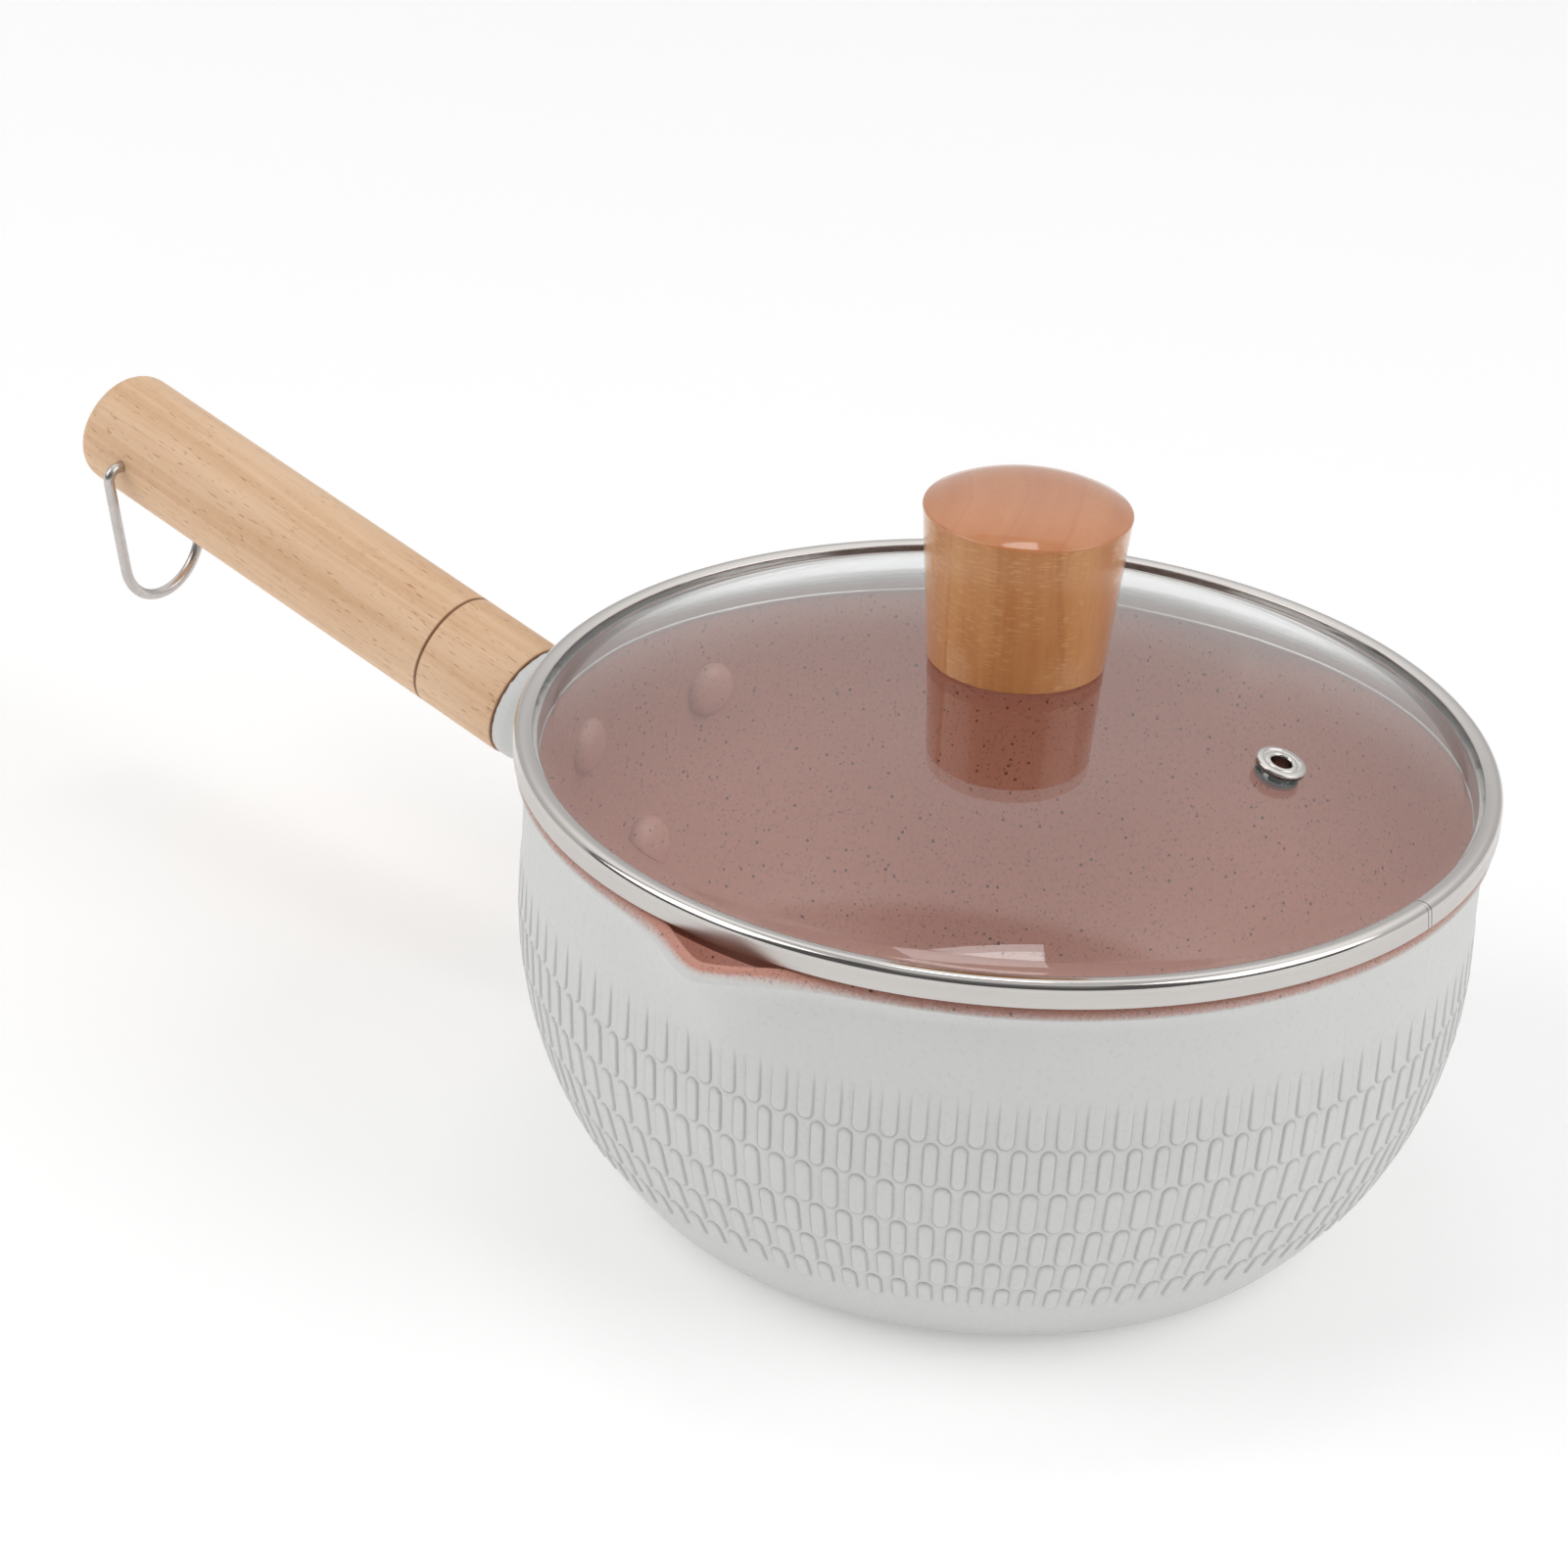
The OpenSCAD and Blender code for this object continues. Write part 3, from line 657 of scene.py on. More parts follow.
def make_grip_material():
    """Beech, burnt dark in the turned line, and darker along the end that meets the bracket."""
    g, place, colour, fibre, fleck = make_beech("grip_beech")
    along = g.split(place)[2]
    groove = g.math("ABSOLUTE", g.minus(along, GROOVE_S * MM))
    dark_bands = g.minus(1.0, g.ramp(groove, 0.00015, 0.0006))
    # Darker along the end that meets the bracket.
    joint = g.minus(1.0, g.ramp(along, 0.0001, 0.0005))
    dark_bands = g.math("MAXIMUM", dark_bands, joint)
    colour = g.mix(g.times(dark_bands, 0.85), colour, srgb(128, 76, 44))
    rings = g.noise(g.scaled(place, (40, 40, 900)), 1.0, 1.0, 0.4)
    colour = g.mix(g.times(g.ramp(rings, 0.5, 0.7), 0.07), colour, srgb(242, 214, 184))
    height = g.minus(g.times(fibre, 0.5), g.times(fleck, 0.6))
    normal = g.bump(height, 0.00005, 0.6)
    normal = g.bump(rings, 0.00003, 0.4, normal)
    g.principled(Base_Color=colour, Roughness=g.between(fibre, 0.4, 0.58), Normal=normal,
                 Specular_IOR_Level=0.4)
    return g.material


KNOB_PITH = (0.042, 0.028, 0.0)      # the tree's centre, off to one side of the knob


def make_knob_material():
    """Varnished orange wood: growth rings about an off-centre upright pith, chatter marks on the side."""
    g = Graph("knob_wood")
    place = g.place()
    point = g.warped(place, (60, 60, 14), (0.0035, 0.0035, 0))
    off = g.vector("SUBTRACT", point, KNOB_PITH)
    away = g.node("VectorMath", {0: g.scaled(off, (1, 1, 0))}, operation="LENGTH").outputs["Value"]
    spread = g.node("CombineXYZ", {0: g.times(away, 170)}).outputs[0]
    ring = g.noise(spread, 1.0, 2.0, 0.55)
    late = g.ramp(g.math("SINE", g.times(away, 560)), 0.93, 1.0)
    fibre = g.noise(g.scaled(point, (1300, 1300, 45)), 1.0, 3.0, 0.6)
    cloud = g.noise(g.scaled(place, (70, 70, 30)), 1.0, 2.0, 0.5)
    colour = g.mix(g.ramp(ring, 0.34, 0.66), srgb(218, 152, 92), srgb(203, 132, 74))
    colour = g.mix(g.times(late, 0.24), colour, srgb(170, 98, 52))
    colour = g.mix(g.times(g.ramp(fibre, 0.45, 0.75), 0.3), colour, srgb(184, 112, 58))
    colour = g.mix(g.times(g.ramp(cloud, 0.42, 0.75), 0.4), colour, srgb(226, 166, 110))
    chatter = g.noise(g.scaled(g.round_place(KNOB_TOP_R * MM), (330, 0, 1900)), 1.0, 2.0, 0.5)
    patch = g.ramp(g.noise(g.scaled(place, (80, 80, 40)), 1.0, 1.0), 0.45, 0.6)
    end_grain = g.ramp(g.split(place)[2], (KNOB_SIDE_H - 0.8) * MM, (KNOB_SIDE_H - 0.2) * MM)
    colour = g.mix(g.times(end_grain, 0.6), colour, srgb(186, 102, 44))
    patch = g.times(patch, g.minus(1.0, end_grain))
    marks = g.times(g.ramp(chatter, 0.5, 0.66), patch)
    colour = g.mix(g.times(marks, 0.5), colour, srgb(236, 182, 124))
    normal = g.bump(fibre, 0.00003, 0.4)
    g.principled(Base_Color=colour, Roughness=g.between(fibre, 0.3, 0.45), Normal=normal,
                 Coat_Weight=1.0, Coat_Roughness=0.06, Coat_IOR=1.5)
    return g.material


def make_glass_material():
    """Clear tempered glass, faintly wavy. Lamps shine straight through it."""
    g = Graph("lid_glass")
    place = g.place()
    wave = g.noise(place, 26, 2.0, 0.5)
    normal = g.bump(wave, 0.0002, 0.12)
    smear = g.noise(place, 130, 4.0, 0.7)
    tint = g.mix(smear, (0.965, 0.985, 0.98, 1), (0.98, 0.995, 0.99, 1))
    glass = g.principled(Base_Color=tint, Roughness=g.between(smear, 0.0, 0.012), Normal=normal,
                         Transmission_Weight=1.0, IOR=1.5)
    clear = g.node("BsdfTransparent", {"Color": (0.955, 0.97, 0.965, 1)})
    path = g.node("LightPath")
    lamps = g.math("MAXIMUM", path.outputs["Is Shadow Ray"], path.outputs["Is Diffuse Ray"])
    both = g.node("MixShader", {0: lamps, 1: glass.outputs[0], 2: clear.outputs[0]})
    g.tree.links.new(both.outputs[0], g.output.inputs[0])
    return g.material


def make_rubber_material(name, pale, dim, clear):
    g = Graph(name)
    place = g.place()
    cloud = g.noise(place, 400, 3.0)
    colour = g.mix(cloud, pale, dim)
    g.principled(Base_Color=colour, Roughness=g.between(cloud, 0.4, 0.55), Transmission_Weight=clear,
                 Normal=g.bump(g.noise(place, 1500, 2.0), 0.00002, 0.5))
    return g.material


STEEL_PALE = srgb(214, 210, 206)
STEEL_DIM = srgb(182, 178, 175)
pan_material = make_pan_material()
white_material = make_white_material()
pink_material = make_pink_material()
rim_steel = make_turned_steel("rim_steel", STEEL_PALE, STEEL_DIM, RIM_R * MM, 0.12,
                              satin_below=SATIN_Z * MM, seam_turn=SEAM_TURN)
plate_steel = make_turned_steel("plate_steel", srgb(200, 197, 193), srgb(160, 157, 153), PLATE_R * MM, 0.3,
                                lines=0.8)
small_steel = make_turned_steel("small_steel", STEEL_PALE, STEEL_DIM, VENT_FLANGE_R * MM, 0.17, lines=0.6)
brass = make_turned_steel("brass", srgb(214, 178, 104), srgb(176, 140, 74), VENT_FLANGE_R * MM, 0.28,
                          lines=0.8)
wire_steel = make_wire_steel()
grip_material = make_grip_material()
knob_material = make_knob_material()
glass_material = make_glass_material()
silicone = make_rubber_material("silicone", srgb(206, 209, 207), srgb(186, 190, 188), 0.25)
# The vent gasket's dark grey is partly its own colour and partly painted shade under the eyelet's flange.
rubber_with_painted_shade = make_rubber_material("rubber_with_painted_shade", srgb(88, 91, 92), srgb(70, 73, 74), 0.0)


# ---------------------------------------------------------------- the pan

def spout_at(angle):
    """How far out the two spouts push the wall, 0 to 1, at an angle in radians."""
    push = 0.0
    for centre in (SPOUT_TURN, SPOUT_TURN + 180):
        off = (math.degrees(angle) - centre + 180) % 360 - 180
        push += math.exp(-(abs(off) / SPOUT_WIDTH) ** SPOUT_POWER)
    return push


def spout_share(z):
    """How much of a spout's reach the wall has at height z."""
    t = min(max((z - SPOUT_LOW_Z) / (LIP_EDGE_Z - SPOUT_LOW_Z), 0), 1)
    return t ** SPOUT_SWELL


def pad_rise(angle, z):
    """How far the pads, and the soft grooves round them, stand out of the wall."""
    rise = 0.0
    pitch = 2 * math.pi / PADS
    for k, (top, low, width) in enumerate(PAD_ROWS):
        if not low - 1 < z < top + 1:
            continue
        off = (angle / pitch + k / 2 + 0.5) % 1 - 0.5
        across = abs(off) * pitch * wall_r(z)
        middle = (meridian(top) + meridian(low)) / 2
        reach = (meridian(top) - meridian(low)) / 2 - width / 2 - PAD_EDGE
        along = meridian(z) - middle
        if k == 0 and along > 0:
            along = 0
        beyond = max(abs(along) - reach, 0)
        gap = math.hypot(across, beyond) - width / 2
        t = min(max((PAD_EDGE - gap) / (2 * PAD_EDGE), 0), 1)
        raised = PAD_RISE * t * t * (3 - 2 * t)
        groove = PAD_GROOVE * math.exp(-((gap - PAD_EDGE) / PAD_EDGE) ** 2)
        fade = min(max((PAD_TOP_Z + 1 - z) / PAD_FADE, 0), 1)
        rise += (raised - groove) * fade
    return rise


def pan_rows():
    """Rows of the pan's mesh from under the base, up the outside, over the lip and down the inside.
    Each is (r, z, out, up, share of the spout, coat, fine): out and up are the face's direction."""
    rows = []

    def add(points, share=0.0, coat=0.0):
        for r, z in points:
            rows.append((r, z, 0, 0, share(z) if callable(share) else share, coat, False))

    add([(0, PLATE_Z), (PLATE_R / 2, PLATE_Z), (PLATE_R, PLATE_Z), (PLATE_R, 0)])
    add(arc(CORNER_X, CORNER_R, CORNER_R, -90, -CORNER_TURN, 8))
    foot_z = rows[-1][1]
    pads_low = PAD_ROWS[-1][1]
    add([(wall_r(z), z) for z in np.linspace(foot_z, pads_low, 5)[1:-1]])
    for row in reversed(PAD_ROWS):
        a, b = meridian(row[1]), meridian(row[0])
        stops = [a + d for d in PAD_ENDS] + [b - d for d in reversed(PAD_ENDS[1:])]
        for z in [meridian_height(s) for s in stops]:
            lean = math.asin(min(max((BOWL_H - z) / BOWL_R, 0), 1))
            rows.append((wall_r(z), z, math.cos(lean), -math.sin(lean), spout_share(z), 0.0, True))
    plain_z = PAD_TOP_Z + 1.5
    for z in (PAD_TOP_Z, plain_z):
        rows.append((WALL_R, z, 1, 0, spout_share(z), 0.0, True))
    add([(WALL_R, z) for z in np.linspace(plain_z, LIP_FOOT_Z, 8)[1:]], spout_share)
    for t in np.linspace(0, 1, 5)[1:]:
        z = LIP_FOOT_Z + (LIP_EDGE_Z - LIP_FOOT_Z) * t
        add([(WALL_R + (LIP_OUT - WALL_R) * t ** LIP_FLARE, z)], spout_share)
    for t in np.linspace(0, 1, 13)[1:]:
        r = LIP_OUT + (LIP_IN - LIP_OUT) * t
        z = LIP_EDGE_Z + (PAN_H - LIP_EDGE_Z) * (1 - (1 - t) ** 2)
        rows.append((r, z, 0, 0, 1.0, min(t / LIP_COAT, 1), False))
    inner_r = WALL_R - WALL_T
    edge_r = LIP_IN - inner_r
    add(arc(LIP_IN, PAN_H - edge_r, edge_r, 90, 180, 4)[1:], 1.0, 1.0)
    add([(inner_r, z) for z in np.linspace(PAN_H - edge_r, BOWL_H, 12)[1:]], spout_share, 1.0)
    side_r = BOWL_R - WALL_T
    rise = BOWL_H - FLOOR_T - INNER_CORNER_R
    reach = side_r - INNER_CORNER_R
    corner_x = SIDE_X + math.sqrt(reach ** 2 - rise ** 2)
    bend = math.degrees(math.asin(rise / reach))
    add(arc(SIDE_X, BOWL_H, side_r, 0, -bend, 16)[1:], 0.0, 1.0)
    add(arc(corner_x, FLOOR_T + INNER_CORNER_R, INNER_CORNER_R, -bend, -90, 8)[1:], 0.0, 1.0)
    add([(corner_x * t, FLOOR_T) for t in (0.75, 0.5, 0.25, 0.0)], 0.0, 1.0)
    return rows


def ring_faces(low, high):
    """Faces between two rows of points: alike, a row and a pole, or a coarse row and a fine one."""
    n, m = len(low), len(high)
    if n == m:
        return [[low[i], low[(i + 1) % n], high[(i + 1) % n], high[i]] for i in range(n)]
    if n == 1 or m == 1:
        ring, pole = (high, low[0]) if n == 1 else (low, high[0])
        return [[pole, ring[i], ring[(i + 1) % len(ring)]] for i in range(len(ring))]
    few, many = (low, high) if n < m else (high, low)
    middle = COARSE // 2
    faces = []
    for i, corner in enumerate(few):
        following = few[(i + 1) % len(few)]
        edge = [many[(COARSE * i + k) % len(many)] for k in range(COARSE + 1)]
        faces.extend([[corner, edge[k], edge[k + 1]] for k in range(middle)])
        faces.append([corner, edge[middle], following])
        faces.extend([[following, edge[k], edge[k + 1]] for k in range(middle, COARSE)])
    return faces


def make_pan():
    """The pan, with its pads and spouts, and with the share of pink coating stored at each point."""
    half = math.pi / PADS
    fine = [half * (i + c / 2) for i in range(2 * PADS) for c in PAD_COLUMNS]
    coarse = fine[::COARSE]
    spouts = {True: [spout_at(a) for a in fine], False: [spout_at(a) for a in coarse]}
    verts, coats, rings = [], [], []
    for r, z, out, up, share, coat, is_fine in pan_rows():
        angles = fine if is_fine else coarse
        if r < 1e-6:
            verts.append((0, 0, z))
            coats.append(coat)
            rings.append([len(verts) - 1])
            continue
        ring = []
        for a, spout in zip(angles, spouts[is_fine]):
            rise = pad_rise(a, z) if is_fine else 0.0
            away = r + out * rise + SPOUT_REACH * share * spout
            verts.append((away * math.cos(a), away * math.sin(a), z + up * rise))
            coats.append(coat ** (COAT_POWER + COAT_POWER_SPOUT * spout))
            ring.append(len(verts) - 1)
        rings.append(ring)
    faces = []
    for low, high in zip(rings, rings[1:]):
        faces.extend(ring_faces(low, high))
    pegs = [peg_shape(x, y) for x, y in peg_places()]
    body = join_shapes((verts, faces), *pegs)
    piece = make_piece("pan_body", *body, "pan", ["pot_body"], "pan_body", pan_material, angle=40)
    values = coats + [0.0] * (len(body[0]) - len(coats))
    attribute = piece.data.attributes.new("coat", "FLOAT", "POINT")
    attribute.data.foreach_set("value", np.array(values, np.float32))


def peg_places():
    """Centres of the pegs that key the aluminium into the induction plate's holes."""
    for ring in range(PEG_RINGS):
        count = PEG_FIRST_COUNT * (ring + 1)
        r = PEG_FIRST_R + PEG_STEP_R * ring
        for i in range(count):
            a = math.radians((i + ring / 2) * 360 / count)
            yield r * math.cos(a), r * math.sin(a)


def peg_shape(x, y):
    top = PLATE_Z + 0.4
    shape = lathe([(0, 0.02), (PEG_R - 0.1, 0.02), (PEG_R, 0.12), (PEG_R, top), (0, top)], 20)
    return placed(shape, move(x, y, 0))


# ---------------------------------------------------------------- handle, rivets and loop

def make_rivet(name, round_turn, z, proud):
    """Domed head inside the pan, lifted where the wall is curved, and a formed head outside."""
    base = -WALL_T - proud
    head = [(0, base - 2.9), (2.0, base - 2.82), (3.7, base - 2.5), (4.9, base - 1.95), (5.6, base - 1.3),
            (6.0, base - 0.6), (6.1, base - 0.1), (6.1, base + proud + 0.3)]
    shank = [(RIVET_SHANK_R, base + proud + 0.4), (RIVET_SHANK_R, 3.0)]
    formed = [(4.0, 3.0), (4.2, 3.3), (3.9, 3.8), (3.2, 4.2), (0, 4.3)]
    verts, faces = lathe(head + shank + formed, 64)
    make_piece(name, verts, faces, "pan", [name], "interior_coating", pink_material, at_rivet(round_turn, z))


def make_bracket():
    """The cast bracket, with its corners rounded as a casting's are."""
    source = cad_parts["handle_bracket"]
    mesh = source.data.copy()
    piece = bpy.data.objects.new("bracket", mesh)
    bpy.context.scene.collection.objects.link(piece)
    mesh.materials.clear()
    remesh = piece.modifiers.new("cast", "REMESH")
    remesh.mode = "VOXEL"
    remesh.voxel_size = 0.0005
    smooth = piece.modifiers.new("round", "SMOOTH")
    smooth.factor = 0.5
    smooth.iterations = 6
    bpy.context.view_layer.update()
    graph = bpy.context.evaluated_depsgraph_get()
    result = bpy.data.meshes.new_from_object(piece.evaluated_get(graph))
    piece.modifiers.clear()
    piece.data = result
    bpy.data.meshes.remove(mesh)
    mark_sharp(result, 70)
    result.materials.clear()
    result.materials.append(white_material)
    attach(piece, "pan")
    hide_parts("handle_bracket")


def make_grip():
    """The turned grip, with its stud's bore, its turned line, a round end and the loop's cross hole."""
    end = arc(GRIP_R - GRIP_END_R, GRIP_LEN - GRIP_END_R, GRIP_END_R, 0, 86, 12)
    side = [(GRIP_R, s) for s in np.linspace(GROOVE_S + 3, GRIP_LEN - GRIP_END_R - 2, 10)]
    groove = [(GRIP_R - depth, GROOVE_S + s) for s, depth in GROOVE_SHAPE]
    profile = [(0, STUD_LEN), (STUD_R, STUD_LEN), (STUD_R, 0.0), (GRIP_R - 0.7, 0.0), (GRIP_R - 0.3, 0.12),
               (GRIP_R - 0.08, 0.4), (GRIP_R, 0.9), (GRIP_R, GROOVE_S - 3)]
    profile += groove + side + end + [(3.5, GRIP_LEN + 0.32), (0, GRIP_LEN + 0.4)]
    verts, faces = lathe(profile, 160)
    piece = make_piece("grip", verts, faces, "pan", ["handle_grip"], "grip_wood", grip_material,
                       on_handle(0))
    far = 30
    hole_r = WIRE_R + 0.06
    hole = lathe([(0, -far), (hole_r, -far), (hole_r, far), (0, far)], 32)
    cut(piece, hole, on_handle(LOOP_S) @ turn(90, "X"))


def make_loop():
    """The bent wire, swept along its own line: pin, elbow, leg, round bottom, and back up."""
    span = math.hypot(ELBOW_OUT, LOOP_DROP - ELBOW_R)
    lean = math.degrees(math.atan2(ELBOW_OUT, LOOP_DROP - ELBOW_R) + math.asin((ELBOW_R - LOOP_R) / span))
    pin = [(x, 0.0) for x in np.linspace(0.5, ELBOW_OUT, 6)[:-1]]
    elbow = arc(ELBOW_OUT, ELBOW_R, ELBOW_R, -90, lean, 14)
    bottom = arc(0, LOOP_DROP, LOOP_R, lean, 90, 20)
    leg = [tuple(np.array(elbow[-1]) * (1 - t) + np.array(bottom[0]) * t) for t in (0.25, 0.5, 0.75)]
    half = pin + elbow + leg + bottom
    line = half + [(-x, y) for x, y in reversed(half[:-1])]
    z = HANDLE_Z + LOOP_S * math.sin(math.radians(HANDLE_SLOPE))
    x = HANDLE_X + LOOP_S * math.cos(math.radians(HANDLE_SLOPE))
    verts, faces = sweep([(0, a, -down) for a, down in line], WIRE_R, 28)
    make_piece("loop_wire", verts, faces, "loop", ["hanging_loop"], "steel", wire_steel,
               move(x * MM, 0, z * MM))


# ---------------------------------------------------------------- lid

def dome_z(r, x):
    """Height of a dome of radius r, concentric with the glass, at x from the axis."""
    return GLASS_TOP_Z - GLASS_R + math.sqrt(r * r - x * x)


def dome_x(r, z):
    """Distance of that dome from the axis at height z."""
    return math.sqrt(r * r - (z - GLASS_TOP_Z + GLASS_R) ** 2)


def make_rim():
    """Roll-formed rim: a crowned flange, a band, a seat and a skirt with a hem."""
    top = RIM_TOP_Z
    outer = (arc(FLANGE_R + 0.3, top - 0.62, 0.3, 200, 100, 5)
             + [(FLANGE_R + 0.7, top - 0.2), (FLANGE_R + 1.2, top - 0.06)]
             + arc(RIM_R - 1.7, top - 1.7, 1.7, 90, 0, 12)
             + [(RIM_R, SEAT_Z + 2.0)]
             + arc(RIM_R - 0.5, SEAT_Z + 0.5, 0.5, 0, -90, 6)
             + [(SKIRT_R + 0.5, SEAT_Z)]
             + arc(SKIRT_R + 0.4, SEAT_Z - 0.4, 0.4, 90, 180, 4)
             + arc(SKIRT_R - 0.45, SKIRT_Z, 0.45, 0, -250, 12))
    inner = ([(SKIRT_R - RIM_T, SKIRT_Z + 1.0), (SKIRT_R - RIM_T, SEAT_Z + RIM_T - 0.3),
              (SKIRT_R - RIM_T + 0.3, SEAT_Z + RIM_T), (RIM_R - RIM_T - 0.2, SEAT_Z + RIM_T),
              (RIM_R - RIM_T, SEAT_Z + RIM_T + 0.2)]
             + arc(RIM_R - 1.7, top - 1.7, 1.2, 0, 90, 8)
             + [(FLANGE_R + 1.2, top - 0.56)])
    verts, faces = lathe(outer + inner, 540, closed=True)
    make_piece("rim", verts, faces, "lid", ["lid_rim"], "steel", rim_steel, angle=45)


def make_glass():
    """The domed glass, with its edge rounded inside the rim, and holes for the knob and the vent."""
    edge_top = RIM_TOP_Z - RIM_T - 0.2
    edge_low = SEAT_Z + RIM_T + 0.1
    low_r = GLASS_R - GLASS_T
    top = [(x, dome_z(GLASS_R, x)) for x in np.linspace(KNOB_HOLE_R, dome_x(GLASS_R, edge_top), 34)]
    low = [(x, dome_z(low_r, x)) for x in np.linspace(dome_x(low_r, edge_low), KNOB_HOLE_R, 34)]
    bend = GLASS_EDGE_ROUND
    side = (arc(GLASS_EDGE_R - bend, edge_top - bend, bend, 90, 0, 5)
            + arc(GLASS_EDGE_R - bend, edge_low + bend, bend, 0, -90, 5))
    verts, faces = lathe(top + side + low, 360, closed=True)
    piece = make_piece("glass", verts, faces, "lid", ["lid_glass"], "lid_glass", glass_material, angle=28)
    drill = lathe([(0, -8), (VENT_HOLE_R, -8), (VENT_HOLE_R, 4), (0, 4)], 48)
    cut(piece, drill, at_vent())


def make_vent():
    """The eyelet: a dished flange with a rolled edge, a tube, and its end clinched under the glass."""
    low = -GLASS_T - VENT_UNDER
    flange = VENT_FLANGE_R
    tube = VENT_R + 0.8
    clinched = [(VENT_R + 0.15, low - 0.6), (tube + 0.7, low - 0.6), (tube + 0.9, low - 0.4),
                (tube + 0.9, low - 0.05), (tube, low - 0.02), (tube, 0.3), (flange - 0.4, 0.3)]
    rolled = arc(flange - 0.42, 0.72, 0.42, -90, 75, 9)
    dish = [(flange - 1.0, 1.22), (flange - 1.15, 1.1), (VENT_R + 1.3, 1.04), (VENT_R + 1.15, 1.16),
            (VENT_R + 0.9, 1.2)]
    mouth = arc(VENT_R + 0.55, 0.75, 0.5, 90, 180, 7) + [(VENT_R, 0.2), (VENT_R, low - 0.4)]
    verts, faces = lathe(clinched + rolled + dish + mouth, 96, closed=True)
    make_piece("vent_flange", verts, faces, "lid", ["vent_eyelet"], "steel", small_steel, at_vent())


def make_knob():
    """A tapered plug with a rounded shoulder and a low dome. Its foot's lip hides the pad under it."""
    lip = [(KNOB_FOOT_R - 2.6, 0.0), (KNOB_FOOT_R - 2.6, -0.75), (KNOB_FOOT_R - 0.35, -0.85)]
    foot = lip + arc(KNOB_FOOT_R - 0.35, -0.5, 0.35, -90, 0, 4)
    rise = KNOB_SIDE_H
    taper = (KNOB_TOP_R - KNOB_FOOT_R) / rise
    side = [(KNOB_FOOT_R + taper * t, t) for t in np.linspace(0.8, rise - 1.6, 9)]
    shoulder = arc(KNOB_TOP_R - KNOB_SHOULDER, rise - 0.6, KNOB_SHOULDER, 0, 56, 14, 0.8)
    start_r, start_z = shoulder[-1]
    top = rise + KNOB_DOME_H
    shares = 1 - np.linspace(0, 1, 19)[1:-1]
    dome = [(start_r * t, top - (top - start_z) * t ** KNOB_DOME_POWER) for t in shares]
    bore = [(0, INSERT_LEN), (INSERT_R, INSERT_LEN), (INSERT_R, 0.0)]
    verts, faces = lathe(bore + foot + side + shoulder + dome + [(0, top)], 192)
    make_piece("knob_turned", verts, faces, "lid", ["knob"], "knob_wood", knob_material,
               move(0, 0, KNOB_Z * MM), angle=KNOB_CREASE)


make_pan()
make_bracket()
for rivet_name, rivet_turn, rivet_z, rivet_proud in RIVETS:
    make_rivet(rivet_name, rivet_turn, rivet_z, rivet_proud)
make_grip()
make_loop()
make_rim()
make_glass()
make_vent()
make_knob()

CAD_MATERIALS = {
    "induction_plate": plate_steel, "handle_stud": small_steel, "vent_gasket": rubber_with_painted_shade,
    "vent_washer": small_steel, "knob_pad": silicone, "knob_insert": brass, "knob_seal": silicone,
    "knob_washer": small_steel, "knob_screw": small_steel,
}
for node_name, node_material in CAD_MATERIALS.items():
    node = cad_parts[node_name]
    if not node.material_slots:
        node.data.materials.append(node_material)
    for material_slot in node.material_slots:
        material_slot.material = node_material


# ---------------------------------------------------------------- floor and light

FLOOR_HALF = 12.0        # half the floor's width, in metres
FLOOR_PALE = (0.91, 0.91, 0.91, 1)
FLOOR_DIM = (0.89, 0.89, 0.89, 1)
FLOOR_GLOW = 0.22        # lifts the floor to the backdrop's white


def make_floor():
    g = Graph("floor")
    place = g.place()
    colour = g.mix(g.noise(place, 3, 2.0), FLOOR_PALE, FLOOR_DIM)
    g.principled(Base_Color=colour, Roughness=g.between(g.noise(place, 40, 2.0), 0.7, 0.8),
                 Emission_Color=(1.0, 1.0, 1.0, 1), Emission_Strength=FLOOR_GLOW)
    mesh = bpy.data.meshes.new("floor")
    corners = [(x * FLOOR_HALF, y * FLOOR_HALF, 0) for x, y in ((-1, -1), (1, -1), (1, 1), (-1, 1))]
    mesh.from_pydata(corners, [], [(0, 1, 2, 3)])
    mesh.materials.append(g.material)
    floor = bpy.data.objects.new("floor", mesh)
    bpy.context.scene.collection.objects.link(floor)


# Soft panels, in degrees and metres: name, turn to the left of the camera's far side, height angle,
# distance, width, height and radiance
LIGHTS = [("left_panel", 100, 40, 2.8, 2.0, 2.0, 1.95), ("right_panel", -110, 40, 2.8, 2.0, 2.0, 2.0),
          ("front_panel", 180, 52, 2.8, 2.0, 1.6, 0.18), ("top_panel", 8, 81, 2.2, 0.55, 0.3, 4.2)]
LIGHT_AIM = Vector((0, 0, 0.06))


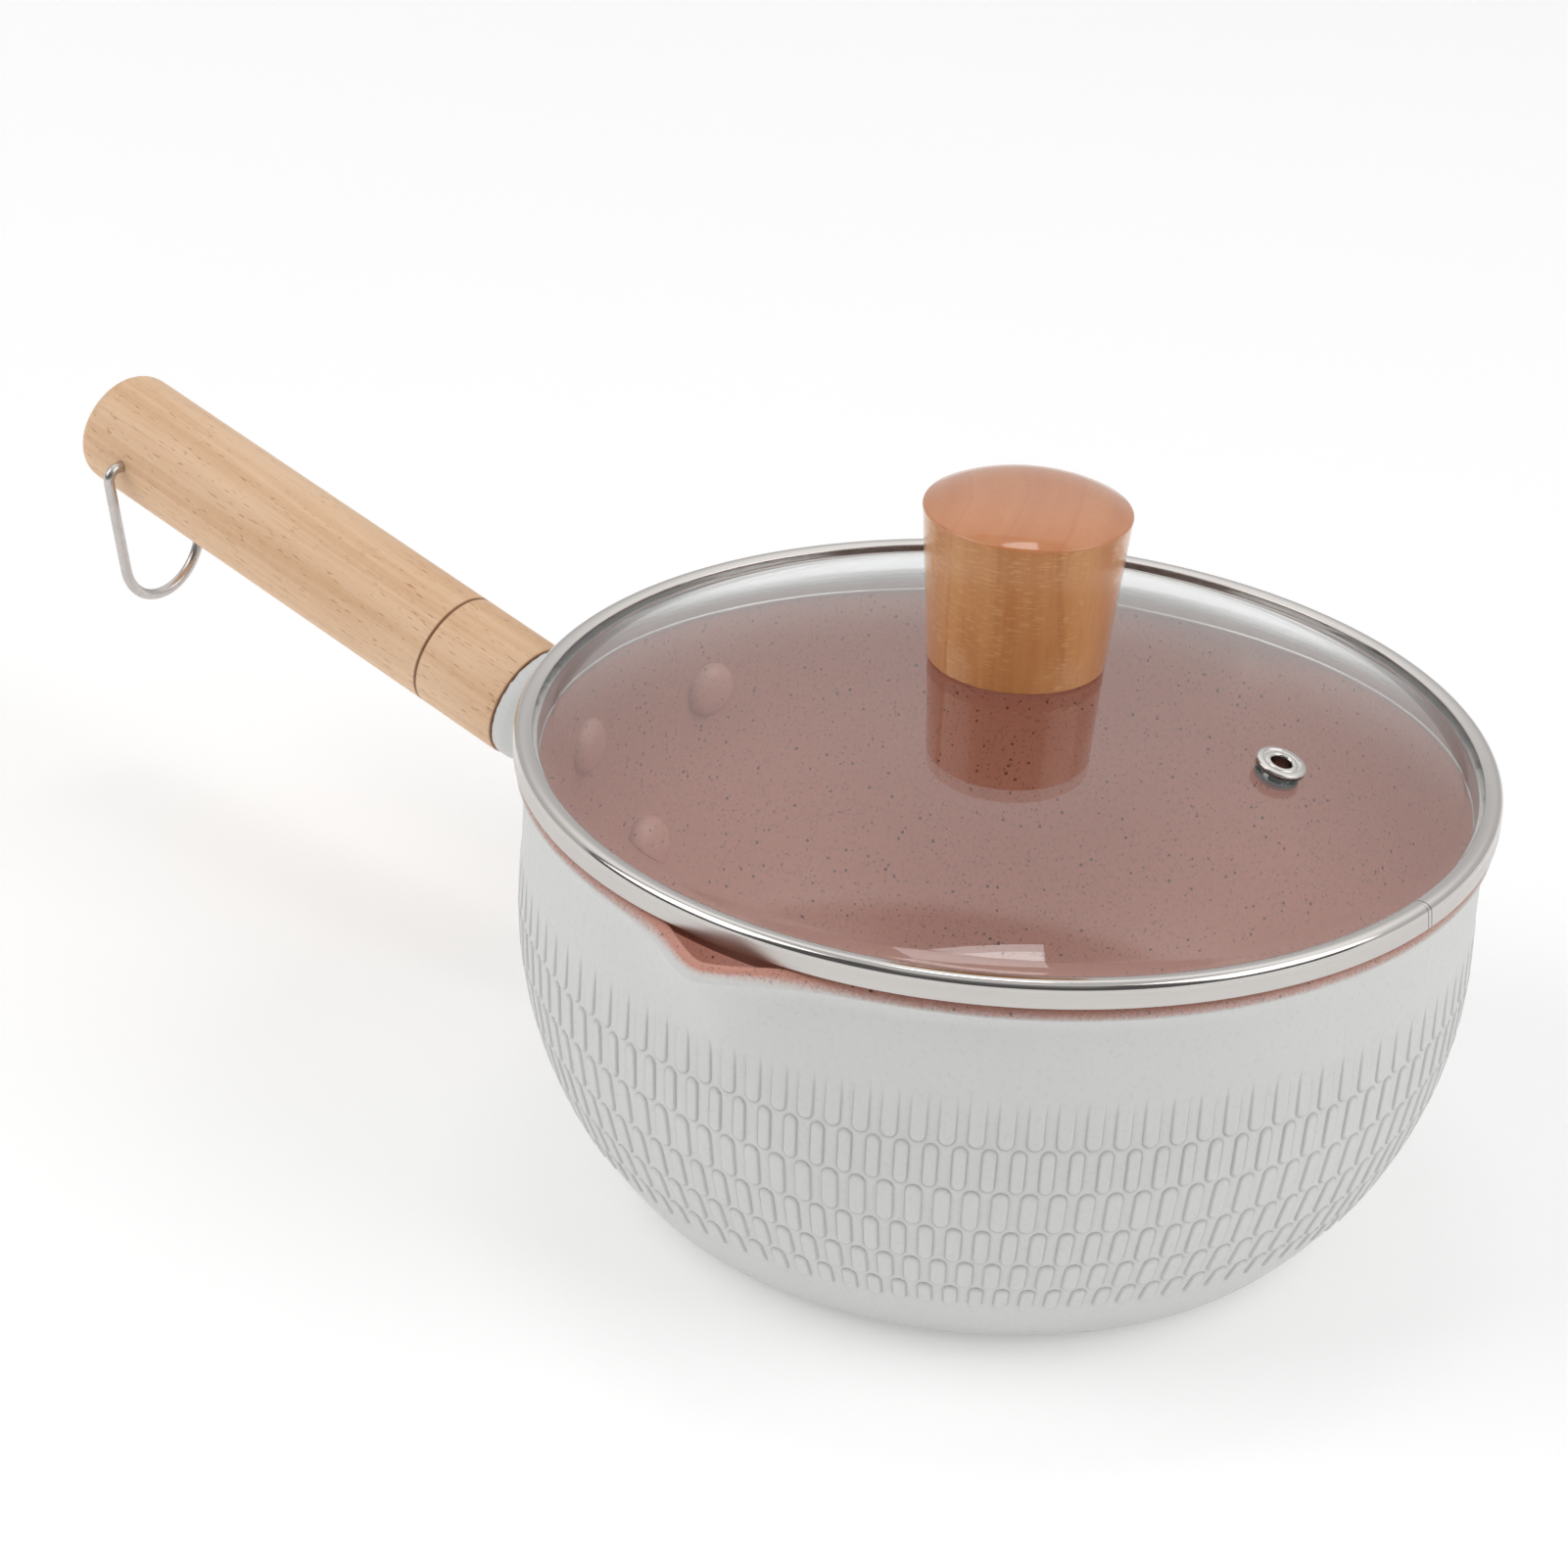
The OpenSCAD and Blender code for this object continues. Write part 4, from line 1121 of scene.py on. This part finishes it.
def make_light(name, toward, up_degrees, distance, width, height, radiance):
    """A soft panel that faces the pan, which sees it at that turn and height angle."""
    data = bpy.data.lights.new(name, "AREA")
    data.shape = "RECTANGLE"
    data.size = width
    data.size_y = height
    data.energy = radiance * math.pi * width * height
    light = bpy.data.objects.new(name, data)
    bpy.context.scene.collection.objects.link(light)
    a = math.radians(90 - CAMERA_TURN + toward)
    e = math.radians(up_degrees)
    way = Vector((math.cos(a) * math.cos(e), math.sin(a) * math.cos(e), math.sin(e)))
    light.location = LIGHT_AIM + way * distance
    light.rotation_mode = "QUATERNION"
    light.rotation_quaternion = way.to_track_quat("Z", "Y")
    light.visible_camera = False


WALL_TOWARD = -10        # the room's pale back wall, in degrees left of the camera's far side
WALL_SLOPE = 2.75        # tangent of the height angle of its top edge
WALL_LOW, WALL_HIGH = 0.66, 1.3
ROOM_DARK = 0.12         # the rest of the room, as polished surfaces mirror it
CEILING = 0.7
ROOM_LIGHT = 0.23        # and as it lights the pan, level and from overhead
ROOM_OVERHEAD = 0.42
ROOM_WALL = 0.14         # what the back wall adds
BACKDROP = 0.98          # as the camera sees it


def make_world():
    """White behind the pan; round it a dim room, with a pale back wall and a soft bright ceiling."""
    g = Graph("studio", world=True)
    bpy.context.scene.world = g.material
    way = g.node("TexCoord").outputs["Generated"]
    a = math.radians(90 - CAMERA_TURN + WALL_TOWARD)
    to_wall = (math.cos(a), math.sin(a), 0)
    ahead = g.node("VectorMath", {0: way, 1: to_wall}, operation="DOT_PRODUCT").outputs["Value"]
    up = g.split(way)[2]
    wall = g.ramp(g.minus(g.times(ahead, WALL_SLOPE), up), -0.06, 0.06)
    wall_light = g.between(g.ramp(up, 0.3, 0.85), WALL_LOW, WALL_HIGH)
    ceiling = g.between(g.ramp(up, 0.78, 0.88), ROOM_DARK, CEILING)
    mirrored = g.node("Mix", {0: wall, 2: ceiling, 3: wall_light}).outputs[0]
    overhead = g.times(g.math("MAXIMUM", up, 0.0), g.math("MAXIMUM", up, 0.0))
    lit = g.plus(g.times(overhead, ROOM_OVERHEAD), ROOM_LIGHT)
    lit = g.plus(lit, g.times(wall, ROOM_WALL))
    path = g.node("LightPath")
    strength = g.node("Mix", {0: path.outputs["Is Glossy Ray"], 2: lit, 3: mirrored}).outputs[0]
    strength = g.node("Mix", {0: path.outputs["Is Camera Ray"], 2: strength, 3: BACKDROP}).outputs[0]
    light = g.node("Background", {"Color": (1, 1, 1, 1), "Strength": strength})
    g.tree.links.new(light.outputs[0], g.output.inputs[0])


make_floor()
make_world()
for light_values in LIGHTS:
    make_light(*light_values)
bpy.context.scene.view_settings.view_transform = "Standard"
